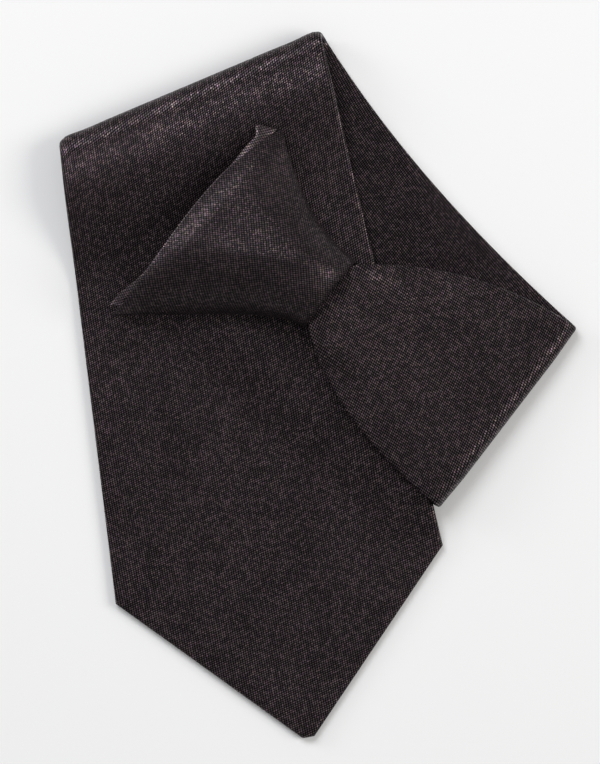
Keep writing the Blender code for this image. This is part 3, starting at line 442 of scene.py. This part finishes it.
def foldOneRoll(turns):
    reach = (foldOne["riseLeft"] + foldOne["riseRight"]) / 4
    return rollSection(foldOneLeft, foldOneRight, foldOneAlong, foldOneOut, driftOne, reach,
                       (foldOne["riseLeft"], foldOne["riseRight"]), False, turns)


def foldTwoRoll(turns):
    return rollSection(foldTwoLeft, foldTwoRight, foldTwoAlong, foldTwoOut, driftTwo, foldTwo["reach"],
                       (foldTwo["rise"], foldTwo["rise"]), True, turns)


def underEdges(t):
    start, end = foldOneRoll([1.0]), foldTwoRoll([-1.0])
    left = headingCurve(start[0][0], 2 * foldOne["angle"] - neckCut["edgeLeft"] + 180,
                        end[0][0], 2 * foldTwo["angle"] + 90 + edgeLean, t)
    right = headingCurve(start[1][0], 2 * foldOne["angle"] - neckCut["edgeRight"] + 180,
                         end[1][0], 2 * foldTwo["angle"] + 90 - edgeLean, t)
    return left, right


underLeftEdge = underEdges(np.linspace(0, 1, 41))[0]


def besideUnder(plan):
    # distance outside the under layer's hidden edge, negative where it lies below the blade
    a, step = underLeftEdge[:-1], np.diff(underLeftEdge, axis=0)
    offset = plan[..., None, :] - a
    t = np.clip((offset * step).sum(-1) / (step * step).sum(-1), 0, 1)
    away = offset - step * t[..., None]
    far = np.linalg.norm(away, axis=-1)
    nearest = far.argmin(-1)[..., None]
    side = np.take_along_axis(step[..., 0] * away[..., 1] - step[..., 1] * away[..., 0], nearest, -1)
    return np.take_along_axis(far, nearest, -1)[..., 0] * np.where(side[..., 0] > 0, 1, -1)


def bladeHeight(plan, v):
    down = smooth(besideUnder(plan) / underLayer["drape"])
    resting = mix(upperLayer, half, down)
    behind = (foldTwoMiddle - plan) @ foldTwoOut - half - foldTwo["reach"]
    puff = 1 - smooth(behind / foldTwo["settle"])
    calm = smooth(behind / clothWaves["fadeIn"]) * (1 - 0.6 * down)    # flatter on the table
    uneven = clothWaves["blade"] * (1 + waves(plan, clothWaves["size"])) * calm
    # the roll stands a little higher just past the fold than at it
    past = np.clip(behind / foldTwo["swellReach"], 0, 1) ** foldTwo["swellLean"]
    swell = foldTwo["swell"] * np.sin(math.pi * past) ** 2
    return mix(resting, half + foldTwo["rise"], puff) + uneven + swell


def underHeight(plan, v):
    return np.full(v.shape, half)


def neckRun(plan):
    return (plan - foldOneMiddle) @ heading(neckCut["heading"]) / neckCut["length"]


def neckHeight(plan, v):
    run = neckRun(plan)
    atFold = half + mix(foldOne["riseLeft"], foldOne["riseRight"], (1 + v) / 2)
    climb = np.minimum(np.maximum(run, 0) ** neckCut["risePower"], 1)
    level = mix(atFold, neckCut["throatHeight"], climb)
    # the knot gathers the neck: its sides fold down past two creases that fade towards the first fold
    below = -(plan - throat) @ knotUp
    out = (plan - throat) @ knotOut
    fade = 1 - smooth(below / neckCut["creaseFade"])
    crease = np.where(out > 0, neckCut["creaseLeft"], neckCut["creaseRight"]) - neckCut["creaseStart"]
    drop = smooth((np.abs(out) - crease) / neckCut["creaseWidth"]) * fade * neckCut["creaseDrop"]
    # and it is pinched where the knot grips it
    drop = drop + neckCut["pinch"] * np.exp(-(np.maximum(below, 0) / neckCut["pinchReach"]) ** 2)
    calm = smooth(run / 0.15) * smooth((1 - run) / 0.2)
    return level - drop + clothWaves["neck"] * waves(plan, clothWaves["size"]) * calm


def neckSection(count):
    end = foldOneRoll([-1.0])
    across = knotOut * neckCut["throatWidth"] / 2
    away = neckCut["knotHeading"] - 180
    t = np.linspace(0, 1, count + 1)
    left = headingCurve(throat + across, away - neckCut["flare"],
                        end[0][0], neckCut["edgeLeft"] - 180, t)
    right = headingCurve(throat - across, away + neckCut["flare"],
                         end[1][0], neckCut["edgeRight"] - 180, t)
    inside = knotUp * neckCut["entry"]
    left = np.vstack((left[:1] + inside, left[:1] + inside / 2, left[:-1]))
    right = np.vstack((right[:1] + inside, right[:1] + inside / 2, right[:-1]))
    return left, right, neckHeight


def bladeSection(nearRows, bodyRows, tipRows):
    start = foldTwoRoll([1.0])
    widest = tieCut["width"] / 2
    share = np.concatenate((0.3 * np.arange(1, nearRows + 1) / nearRows,
                            mix(0.3, 1.0, np.arange(1, bodyRows + 1) / bodyRows)))[:, None]
    left = mix(start[0][0], np.array((-widest, 0.0)), share)
    right = mix(start[1][0], np.array((widest, 0.0)), share)
    tip = np.arange(1, tipRows + 1)[:, None] / tipRows
    wide = mix(widest, tieCut["pointHalfWidth"], tip)
    down = -(tieCut["tipLength"] - tieCut["pointHalfWidth"]) * tip
    left = np.vstack((left, np.hstack((-wide, down))))
    right = np.vstack((right, np.hstack((wide, down))))
    return left, right, bladeHeight


def middles(strip, v):
    plans, heights, row = [], [], 0
    for left, right, heightOf in strip:
        rows = slice(row, row + len(left))
        plan = left[:, None] + (right - left)[:, None] * ((1 + v[rows]) / 2)[..., None]
        plans.append(plan)
        heights.append(heightOf(plan, v[rows]))
        row += len(left)
    plan, z = np.concatenate(plans), np.concatenate(heights)
    # the second fold's corners: a little proud, then rounded off at the very ends
    s = (plan - foldTwoMiddle) @ foldTwoAlong
    behind = (foldTwoMiddle - plan) @ foldTwoOut
    ends = np.where(s > 0, np.linalg.norm(foldTwoRight - foldTwoMiddle),
                    np.linalg.norm(foldTwoLeft - foldTwoMiddle))
    reach = np.abs(s) - (ends - foldTwo["corner"])
    proud = foldTwo["proud"] * np.exp(-(reach / foldTwo["cornerReach"]) ** 2)
    rounding = foldTwo["rounding"] * np.clip(reach / foldTwo["corner"], 0, 1.2) ** 2
    fade = np.exp(-np.maximum(behind, 0) / foldTwo["cornerFade"])
    plan = plan + foldTwoOut * ((proud - rounding) * fade)[..., None]
    return np.concatenate((plan, z[..., None]), axis=-1)


def skin(strip, v, offset, nudge=0.02):
    # the strip's middle surface moved out by offset, square to it; nudge is the step for its slope
    inside = np.clip(v, -1, 1)
    middle = middles(strip, inside)
    ahead = middles(strip, np.vstack((inside[:1], inside[:-1])))
    behind = middles(strip, np.vstack((inside[1:], inside[-1:])))
    along = np.empty_like(middle)
    along[1:-1] = ahead[2:] - behind[:-2]
    along[0], along[-1] = ahead[1] - middle[0], middle[-1] - behind[-2]
    onRight, onLeft = np.minimum(inside + nudge, 1), np.maximum(inside - nudge, -1)
    across = middles(strip, onRight) - middles(strip, onLeft)
    return middle + unit(np.cross(along, across)) * offset[..., None]


def halfWidths(strip):
    return np.concatenate([np.linalg.norm(right - left, axis=1) / 2 for left, right, _ in strip])


def halfThickness(v):
    thin = smooth((np.abs(v) - tieCut["flatShare"]) / (1 - tieCut["flatShare"]))
    return mix(tieCut["thickness"], tieCut["edgeThickness"], thin) / 2


def edgeRadius(wide):
    return np.minimum(tieCut["edgeThickness"] / 2, wide * 0.45)


def envelopePiece(name, strip, frontColumns=30, edgeColumns=8, backColumns=12):
    # satin from the left seam lip round the left edge, the front and the right edge
    wide = halfWidths(strip)
    radius = edgeRadius(wide)
    inner, slit = 1 - radius / wide, np.minimum(tieCut["seamGap"] / 2 / wide, 0.4)
    limit = wide * 0.5                  # the tip's point is too narrow for its full thickness
    side, front = [], []
    for i in range(backColumns):
        v = mix(slit, inner, i / backColumns)
        side.append((v, -np.minimum(halfThickness(v), limit), 2 - v))
    for i in range(edgeColumns + 1):
        angle = math.pi * i / edgeColumns - math.pi / 2
        v = inner + (1 - inner) * math.cos(angle)
        side.append((v, radius * math.sin(angle), v if angle > 0 else 2 - v))
    for i in range(1 - frontColumns, frontColumns):
        v = inner * i / frontColumns
        front.append((v, np.minimum(halfThickness(v), limit), v))
    profile = [(-v, b, -u) for v, b, u in side] + front + side[::-1]
    v, offset, u = (np.stack([p[i] for p in profile], axis=1) for i in range(3))
    centre = middles(strip, np.zeros((len(wide), 1)))[:, 0]
    length = np.concatenate(([0], np.cumsum(np.linalg.norm(np.diff(centre, axis=0), axis=1))))
    uv = np.dstack((u * wide[:, None], np.repeat(length[:, None], u.shape[1], axis=1))) * 1000
    made = gridPiece(name, skin(strip, v, offset) + origin, uv, tieCut["fabric"])
    # the mask of the turned back, where the painted shade darkens the satin
    paintedShadeOnBack = made.data.attributes.new("paintedShadeOnBack", "FLOAT", "POINT")
    paintedShadeOnBack.data.foreach_set("value", smooth((np.abs(u) - 0.98) / 0.06).astype(np.float32).ravel())
    return made


def layerPiece(name, strip, front, back, reach, columns=16):
    # a flat layer inside the envelope: front(v) and back(v) are its faces' offsets
    wide = halfWidths(strip)
    inner = (1 - edgeRadius(wide) / wide)[:, None]
    v = np.linspace(-reach, reach, columns + 1)[None, :] * inner
    upper = skin(strip, v, front(v)) + origin
    lower = skin(strip, v, back(v)) + origin
    return loftPiece(name, np.concatenate((upper, lower[:, ::-1]), axis=1))


def woolFront(v):
    return halfThickness(v) - tieCut["fabric"] - tieCut["inside"]


def woolBack(v):
    return woolFront(v) - tieCut["wool"]


def liningFront(v):
    return woolBack(v) - tieCut["inside"]


def liningBack(v):
    return liningFront(v) - tieCut["lining"]


t = np.linspace(0, 1, 61)
underLeft, underRight = underEdges(t)
underSection = (underLeft, underRight, underHeight)
rollTwoSection = foldTwoRoll(np.linspace(-1, 1, 29)[1:])
bladeStrip = [underSection, rollTwoSection, bladeSection(44, 62, 40)]
neckStrip = [neckSection(62), foldOneRoll(np.linspace(-1, 1, 29))]

foldLine = Vector((*(foldOneMiddle - foldOneOut * (half + foldOne["lineInset"])), 0)) + Vector(origin)
foldLine.z = frame["joints"][0]["pos_m"][2]
turning = Vector(foldOne["rollUp"]).normalized() * foldOne["turnReach"]


def acrossFold(piece):
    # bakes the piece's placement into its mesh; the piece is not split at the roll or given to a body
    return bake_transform(piece)


def finishPiece(piece, body, material, slotName, *replaced):
    piece.data.materials.append(material)
    if body:
        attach(piece, body)
    if replaced:
        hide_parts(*replaced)
    return piece


bladeEnvelope = finishPiece(envelopePiece("bladeEnvelope", bladeStrip),
                            "blade", satinMaterial, "satin", "blade_shell")
neckEnvelope = envelopePiece("neckEnvelope", neckStrip)
acrossFold(neckEnvelope)
finishPiece(neckEnvelope, None, satinMaterial, "satin", "neck_shell", "fold_turn")
print("envelopes made")



def partOf(section, first, last):
    left, right, heightOf = section
    return left[first:last], right[first:last], heightOf


coarseBlade = bladeSection(16, 22, 14)
woolStrip = [(*underEdges(np.linspace(0, 1, 31)), underHeight),
             foldTwoRoll(np.linspace(-1, 1, 17)[1:]), partOf(coarseBlade, None, -2)]
# the interlining is left out of the first fold's middle, where it would show when the fold opens
woolIntoFold = foldOneRoll(np.linspace(tieCut["woolTurn"], 1, 9)[:-1])
bladeWool = layerPiece("bladeInterlining", [woolIntoFold, *woolStrip], woolFront, woolBack,
                       tieCut["woolReach"])
finishPiece(bladeWool, "blade", feltMaterial, "interlining", "blade_interlining")
neckWoolStrip = [neckSection(24), foldOneRoll(np.linspace(-1, -tieCut["woolTurn"], 9))]
neckWool = layerPiece("neckInterlining", neckWoolStrip, woolFront, woolBack, tieCut["woolReach"])
acrossFold(neckWool)
finishPiece(neckWool, None, feltMaterial, "interlining", "neck_interlining", "fold_interlining")
tipLining = layerPiece("tipLining", [partOf(coarseBlade, -16, -2)], liningFront, liningBack,
                       tieCut["liningReach"])
finishPiece(tipLining, "blade", liningMaterial, "lining", "tip_lining")
print("inner layers made")


# The knot, with its wings, its back layer and the padding inside.
knotCut = dict(bottom=0.0200, top=0.0192, bulge=0.0022, sideBottom=0.0150,
               leftWingHeight=0.0086, rightWingHeight=0.0124, archPower=2.4, depth=0.0080,
               edgeDepth=0.0032, wingDepth=0.0018, depthPower=3.5, fabric=0.0009, rim=0.00038,
               topBulge=0.0029, topSkew=0.85, topRoll=0.0021, rollShare=0.085, wingRoll=0.35,
               throatRoll=0.0015, throatShare=0.075, padding=0.0014, paddingGap=0.0003,
               flapTop=0.76, besideClip=0.0080, uneven=0.00028, unevenSize=0.013)
# a shallow pull line runs from the throat's right corner to the left wing
pullLine = dict(depth=0.00035, slope=0.62, aside=0.009, width=0.0035)
# each side in (up, out) from the throat: its start, two handles and the wing tip
knotLeftSide = ((0.0, 0.0105), (0.0070, 0.0108), (0.0155, 0.0178), (0.0410, 0.0376))
knotRightSide = ((0.0, 0.0109), (0.0090, 0.0110), (0.0180, 0.0126), (0.0352, 0.0264))
backLayer = dict(start=0.80, leftEnd=0.955, rightEnd=-0.985, proud=0.0004, leftTip=0.0021,
                 leftFrom=0.022, leftRamp=0.013, rightLift=0.0016, rightFrom=0.010, rightRamp=0.011,
                 rightStop=0.0262, spike=0.0030, spikeOut=-0.0232, spikeWidth=0.0013, gap=0.0010,
                 slit=0.0013, topLift=0.0012, tipLift=0.0006, rest=0.0062, restBow=0.0018,
                 fabric=0.0005, rim=0.0002)


def knotPlace(up, out):
    return throat + up[..., None] * knotUp + out[..., None] * knotOut


def knotUpOut(t, v):
    left, right = bezier(knotLeftSide, t), bezier(knotRightSide, t)
    share = (1 + v) / 2
    up = mix(right[..., 0], left[..., 0], share)
    out = mix(-right[..., 1], left[..., 1], share)
    bulge = knotCut["topBulge"] * np.clip(t, 0, 2) ** 2 * (1 - v * v)
    return up + bulge * (1 - knotCut["topSkew"] * v), out


def knotArch(t, v):
    wing = np.where(v > 0, knotCut["leftWingHeight"], knotCut["rightWingHeight"])
    side = mix(knotCut["sideBottom"], wing, smooth(t * 1.1))
    crown = mix(knotCut["bottom"], knotCut["top"], t) + 4 * knotCut["bulge"] * t * (1 - t)
    level = mix(side, crown, 1 - np.abs(v) ** knotCut["archPower"])
    # the skin turns down into the hem along the top, and in under itself at the throat
    topPart = np.clip((t - 1 + knotCut["rollShare"]) / knotCut["rollShare"], 0, 1.4)
    throatPart = np.clip((knotCut["throatShare"] - t) / knotCut["throatShare"], 0, 1.4)
    topRoll = topPart ** 2 * knotCut["topRoll"] * (1 - knotCut["wingRoll"] * v * v)
    return level - topRoll - throatPart ** 2 * knotCut["throatRoll"]


def knotUneven(t, v):
    up, out = knotUpOut(t, v)
    plan = np.stack((up, out), -1)
    calm = smooth((1 - np.abs(v)) / 0.3) * smooth(t / 0.2)
    off = (out - pullLine["slope"] * up + pullLine["aside"]) / pullLine["width"]
    pull = pullLine["depth"] * np.exp(-(off ** 2)) * smooth(t / 0.15) * smooth((1.0 - t) / 0.3)
    return (knotCut["uneven"] * waves(plan, knotCut["unevenSize"]) + pull) * calm


def knotSkin(t, v, below=0.0):
    up, out = knotUpOut(t, v)
    z = knotArch(t, v) + knotUneven(t, v) - below
    return np.concatenate((knotPlace(up, out), z[..., None]), -1)


def knotEdgeDepth(t):
    return mix(knotCut["edgeDepth"], knotCut["wingDepth"], smooth((t - 0.55) / 0.4))


def knotDepth(t, v):
    return mix(knotCut["depth"], knotEdgeDepth(t), np.abs(v) ** knotCut["depthPower"])


def knotHalfWidth(t):
    return (bezier(knotLeftSide, t)[..., 1] + bezier(knotRightSide, t)[..., 1]) / 2


def shareAt(t, out):
    left, right = bezier(knotLeftSide, t)[..., 1], -bezier(knotRightSide, t)[..., 1]
    return 2 * (out - right) / (left - right) - 1


def knotWrapPoints(rows=72, frontColumns=64, flapColumns=10, edgeColumns=8):
    s = np.linspace(0, 1, rows + 1)
    t = (s + 0.3 * s * (1 - s))[:, None]
    roll = knotEdgeDepth(t) / 2 / knotHalfWidth(t)
    flaps = []
    for side in (1, -1):
        besideClip = side * shareAt(t, side * knotCut["besideClip"])
        inner = np.maximum(besideClip, knotCut["flapTop"] * smooth((t - 0.6) / 0.3))
        flaps.append(side * mix(inner, 1 - roll, np.linspace(0, 1, flapColumns + 1)[None, :-1]))
    edges = []
    for side in (1, -1):
        angles = np.linspace(0, math.pi, edgeColumns + 1)[None, :]
        v = 1 - roll + roll * np.sin(angles)
        below = knotEdgeDepth(t) * (1 + np.cos(angles)) / 2
        edges.append((side * v, below))
    front = mix(1 - roll, -1 + roll, np.linspace(0, 1, frontColumns + 1)[None, 1:-1])
    v = np.hstack((flaps[0], edges[0][0], front, edges[1][0][:, ::-1], flaps[1][:, ::-1]))
    tt = np.repeat(t, v.shape[1], axis=1)
    below = np.hstack((knotDepth(t, flaps[0]), edges[0][1], np.zeros_like(front), edges[1][1][:, ::-1],
                       knotDepth(t, flaps[1][:, ::-1])))
    points = knotSkin(tt, v, below)
    step = np.linalg.norm(np.diff(points, axis=1), axis=-1)
    around = np.hstack((np.zeros((rows + 1, 1)), np.cumsum(step, axis=1)))
    around -= around[:, [around.shape[1] // 2]]
    up, _ = knotUpOut(tt, v)
    uv = np.dstack((around, up)) * 1000
    return points[::-1] + origin, uv[::-1]


knotPoints, knotUv = knotWrapPoints()
knotWrap = gridPiece("knotWrap", knotPoints, knotUv, knotCut["fabric"], rim=knotCut["rim"])
finishPiece(knotWrap, "knot_end", knotMaterial, "knot_satin", "knot_wrap")


def backLayerPoints(rows=18, columns=72):
    # the knot's back layer: it shows past the front's top edge and ends in two tips
    v = np.linspace(backLayer["rightEnd"], backLayer["leftEnd"], columns + 1)[None, :]
    s = np.linspace(0, 1, rows + 1)[:, None]
    t = mix(backLayer["start"], 1.0, s) + 0 * v
    v = v + 0 * t
    up, out = knotUpOut(t, v)
    toRight = smooth((-out - backLayer["rightFrom"]) / backLayer["rightRamp"])
    toLeft = smooth((out - backLayer["leftFrom"]) / backLayer["leftRamp"])
    stop = smooth((backLayer["rightStop"] + out) / 0.002)
    past = backLayer["proud"] + backLayer["rightLift"] * toRight * stop + backLayer["leftTip"] * toLeft
    fromSpike = np.abs((out - backLayer["spikeOut"]) / backLayer["spikeWidth"])
    past = past + backLayer["spike"] * np.exp(-fromSpike ** 1.5)
    up = up + past * smooth((s - 0.2) / 0.8)
    z = knotArch(np.minimum(t, 1.0), v) - knotCut["fabric"] - backLayer["gap"]
    z = z - backLayer["slit"] * (toLeft + 0.4 * toRight)
    z = z + backLayer["topLift"] * smooth((s - 0.3) / 0.7) * (1 - toLeft)
    z = z + backLayer["tipLift"] * s * toRight
    # and it stays clear of the blade below
    z = np.maximum(z, backLayer["rest"] + backLayer["restBow"] * (1 - s * s))
    points = np.concatenate((knotPlace(up, out), z[..., None]), -1)
    return points[::-1] + origin, np.dstack((out, up))[::-1] * 1000


backPoints, backUv = backLayerPoints()
knotBack = gridPiece("knotBackLayer", backPoints[:, ::-1], backUv[:, ::-1], backLayer["fabric"],
                     rim=backLayer["rim"])
# the back layer takes the painted-highlight copy of the knot's satin
finishPiece(knotBack, "knot_end", hemPaintedHighlightMaterial, "knot_satin", "knot_top_hem")


def knotBody(name, start, end, reach, top, bottom, rows=16, columns=24):
    # a layer between two depths below the knot's skin, kept its thickness where the skin is steep
    t = np.linspace(start, end, rows + 1)[:, None] + np.zeros((1, columns + 1))
    v = np.linspace(-reach, reach, columns + 1)[None, :] + 0 * t
    slope = knotSkin(t, np.clip(v + 0.01, -1, 1)) - knotSkin(t, np.clip(v - 0.01, -1, 1))
    rise = knotSkin(t + 0.01, v) - knotSkin(t - 0.01, v)
    square = np.maximum(np.abs(unit(np.cross(rise, slope))[..., 2]), 0.45)
    upper, lower = knotSkin(t, v, top / square), knotSkin(t, v, bottom / square)
    return loftPiece(name, np.concatenate((upper, lower[:, ::-1]), axis=1) + origin)


padTop = knotCut["fabric"] + knotCut["paddingGap"]
knotPadding = knotBody("knotPadding", 0.17, 0.90, 0.80, padTop, padTop + knotCut["padding"])
finishPiece(knotPadding, "knot_end", feltMaterial, "interlining", "knot_padding")
print("knot made")


# Slip stitches down the back seams, and the label's corner stitches.
stitchLook = dict(length=0.0042, spacing=0.0075, radius=0.00016, sink=0.00012, slant=14.0, seed=7)


def stitchTree():
    tree = bpy.data.node_groups.new("slipStitches", "GeometryNodeTree")
    for name, kind in (("seam", "Geometry"), ("spacing", "Float"), ("length", "Float"),
                       ("radius", "Float"), ("slant", "Float"), ("material", "Material")):
        tree.interface.new_socket(name, in_out="INPUT", socket_type="NodeSocket" + kind)
    tree.interface.new_socket("stitches", in_out="OUTPUT", socket_type="NodeSocketGeometry")
    given = addNode(tree, "NodeGroupInput")
    spots = addNode(tree, "GeometryNodeCurveToPoints",
                    {"Curve": (given, "seam"), "Length": (given, "spacing")}, mode="LENGTH")
    lie = addNode(tree, "FunctionNodeAlignRotationToVector", {"Vector": (spots, "Tangent")}, axis="Z")
    uneven = addNode(tree, "FunctionNodeRandomValue", None,
                     {2: 0.85, 3: 1.12, "Seed": stitchLook["seed"]}, data_type="FLOAT")
    tilt = addNode(tree, "FunctionNodeAxisAngleToRotation",
                   {"Angle": (given, "slant")}, {"Axis": (0, 1, 0)})
    slanted = addNode(tree, "FunctionNodeRotateRotation",
                      {"Rotation": (lie, "Rotation"), "Rotate By": (tilt, "Rotation")},
                      rotation_space="LOCAL")
    thread = addNode(tree, "GeometryNodeMeshCylinder",
                     {"Radius": (given, "radius"), "Depth": (given, "length")}, {"Vertices": 8})
    placed = addNode(tree, "GeometryNodeInstanceOnPoints", {
        "Points": (spots, "Points"), "Instance": (thread, "Mesh"),
        "Rotation": (slanted, "Rotation"), "Scale": (uneven, 1)})
    real = addNode(tree, "GeometryNodeRealizeInstances", {"Geometry": (placed, "Instances")})
    shown = addNode(tree, "GeometryNodeSetMaterial",
                    {"Geometry": (real, "Geometry"), "Material": (given, "material")})
    addNode(tree, "NodeGroupOutput", {"stitches": (shown, "Geometry")})
    return tree


stitches = stitchTree()


def stitchPiece(name, lines, body, look, *replaced):
    data = bpy.data.curves.new(name + "Path", "CURVE")
    data.dimensions = "3D"
    for points in lines:
        spline = data.splines.new("POLY")
        spline.points.add(len(points) - 1)
        for spot, point in zip(spline.points, points):
            spot.co = (*point, 1.0)
    path = bpy.data.objects.new(name + "Path", data)
    bpy.context.scene.collection.objects.link(path)
    modifier = path.modifiers.new("stitches", "NODES")
    modifier.node_group = stitches
    inputs = {s.name: s.identifier for s in stitches.interface.items_tree if s.in_out == "INPUT"}
    for key in ("spacing", "length", "radius"):
        modifier[inputs[key]] = look[key]
    modifier[inputs["slant"]] = math.radians(look["slant"])
    modifier[inputs["material"]] = threadMaterial
    bpy.context.view_layer.update()
    mesh = bpy.data.meshes.new_from_object(path.evaluated_get(bpy.context.evaluated_depsgraph_get()))
    made = bpy.data.objects.new(name, mesh)
    mesh.name = name
    bpy.context.scene.collection.objects.link(made)
    bpy.data.objects.remove(path)
    bpy.data.curves.remove(data)
    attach(made, body)
    if replaced:
        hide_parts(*replaced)
    return made


def seamLine(strip):
    count = sum(len(s[0]) for s in strip)
    v = np.zeros((count, 1))
    depth = np.full((count, 1), -half + stitchLook["sink"])
    return skin(strip, v, depth)[:, 0] + origin


bladeSeam = seamLine(woolStrip)
neckSeam = seamLine([neckSection(24)])
bladeStitches = stitchPiece("bladeSlipStitches", [bladeSeam[2:-1]], "blade", stitchLook,
                            "blade_seam_thread")
neckStitches = stitchPiece("neckSlipStitches", [neckSeam[3:]], "knot_end", stitchLook,
                           "neck_seam_thread")
print("seams stitched:", [len(made.data.vertices) // 16 for made in (bladeStitches, neckStitches)])


# The blank care label on the under layer's back.
labelLook = dict(rows=20, columns=32, curl=0.00012, wall=0.00018, underShare=(0.58, 0.60),
                 cornerInset=0.001, stitchReach=0.0012)
labelStitchLook = dict(stitchLook, spacing=0.0011, length=0.0009)
labelLow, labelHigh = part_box("care_label")
rest = np.array([v.co for v in nodes["care_label"].data.vertices])
centre = rest.mean(0)
underAt = underEdges(np.array(labelLook["underShare"]))
middleAt = (underAt[0] + underAt[1]) / 2
labelAlong = unit(middleAt[1] - middleAt[0])
labelAcross = np.array((-labelAlong[1], labelAlong[0]))
lengthways = np.abs((rest[:, :2] - centre[:2]) @ labelAlong).max()
sideways = np.abs((rest[:, :2] - centre[:2]) @ labelAcross).max()
a, b = np.meshgrid(np.linspace(-1, 1, labelLook["rows"] + 1),
                   np.linspace(-1, 1, labelLook["columns"] + 1), indexing="ij")
plan = centre[:2] + a[..., None] * lengthways * labelAlong + b[..., None] * sideways * labelAcross
height = labelLow.z + labelLook["curl"] * np.maximum(np.abs(b) - 0.8, 0) / 0.2 * (1 - 0.5 * a * a)
labelPoints = np.concatenate((plan, height[..., None]), -1)
labelUv = np.dstack((b * sideways, a * lengthways)) * 1000
careLabel = gridPiece("careLabel", labelPoints[::-1], labelUv[::-1], labelLook["wall"], offset=1.0)
finishPiece(careLabel, "blade", labelMaterial, "label", "care_label")
corners = []
for da, db in ((-1, -1), (1, -1), (1, 1), (-1, 1)):
    spot = (centre[:2] + da * (lengthways - labelLook["cornerInset"]) * labelAlong
            + db * (sideways - labelLook["cornerInset"]) * labelAcross)
    reach = labelAcross * labelLook["stitchReach"]
    corners.append([(*(spot - reach), labelHigh.z), (*(spot + reach), labelHigh.z)])
labelStitches = stitchPiece("labelStitches", corners, "blade", labelStitchLook)
print("label sewn on")


# Floor, light and camera.
stageLook = dict(size=6.0, pale="#f3f3f3", paleDim="#f1f1f0", air="#ffffff", airStrength=0.33)
lampLook = {
    "topBack": dict(place=(-0.28, 0.85, 1.05), size=0.8, power=10.0, colour="#fafbff"),
    "keyRight": dict(place=(1.15, -0.15, 0.85), size=0.8, power=10.0, colour="#fffdfa"),
    "windowLeft": dict(place=(-1.0, 0.75, 0.48), size=0.5, power=3.6, colour="#fafbff"),
}
cameraLook = dict(film=36.0, height=1.6, viewHeight=0.1965, roll=-10.2, centre=(-0.00774, 0.00129))

bpy.ops.mesh.primitive_plane_add(size=stageLook["size"])
floor = bpy.context.object
floor.name = "floor"
floorMaterial, tree, shader = newMaterial("mattPaperSweep")
grain = addNode(tree, "ShaderNodeTexNoise", None, {"Scale": 3.0, "Detail": 2.0}), "Fac"
useInput(tree, shader, "Base Color", addBlend(tree, grain, stageLook["paleDim"], stageLook["pale"]))
shader.inputs["Roughness"].default_value = 0.9
shader.inputs["Specular IOR Level"].default_value = 0.0
floor.data.materials.append(floorMaterial)

world = bpy.data.worlds.new("softTent")
world.use_nodes = True
air = world.node_tree.nodes["Background"]
air.inputs["Color"].default_value = hexColour(stageLook["air"])
air.inputs["Strength"].default_value = stageLook["airStrength"]
bpy.context.scene.world = world
for name, lamp in lampLook.items():
    light = bpy.data.lights.new(name, "AREA")
    light.shape, light.size, light.energy = "DISK", lamp["size"], lamp["power"]
    light.color = hexColour(lamp["colour"])[:3]
    holder = bpy.data.objects.new(name, light)
    holder.location = lamp["place"]
    holder.rotation_euler = (-Vector(lamp["place"])).to_track_quat("-Z", "Y").to_euler()
    bpy.context.scene.collection.objects.link(holder)

camera = bpy.data.cameras.new("camera")
camera.sensor_width = cameraLook["film"]
camera.lens = cameraLook["film"] * cameraLook["height"] / cameraLook["viewHeight"]
cameraHolder = bpy.data.objects.new("camera", camera)
cameraHolder.location = (*cameraLook["centre"], cameraLook["height"])
cameraHolder.rotation_euler = (0, 0, math.radians(cameraLook["roll"]))
bpy.context.scene.collection.objects.link(cameraHolder)
bpy.context.scene.camera = cameraHolder
bpy.context.scene.view_settings.view_transform = "Standard"
print("stage set")
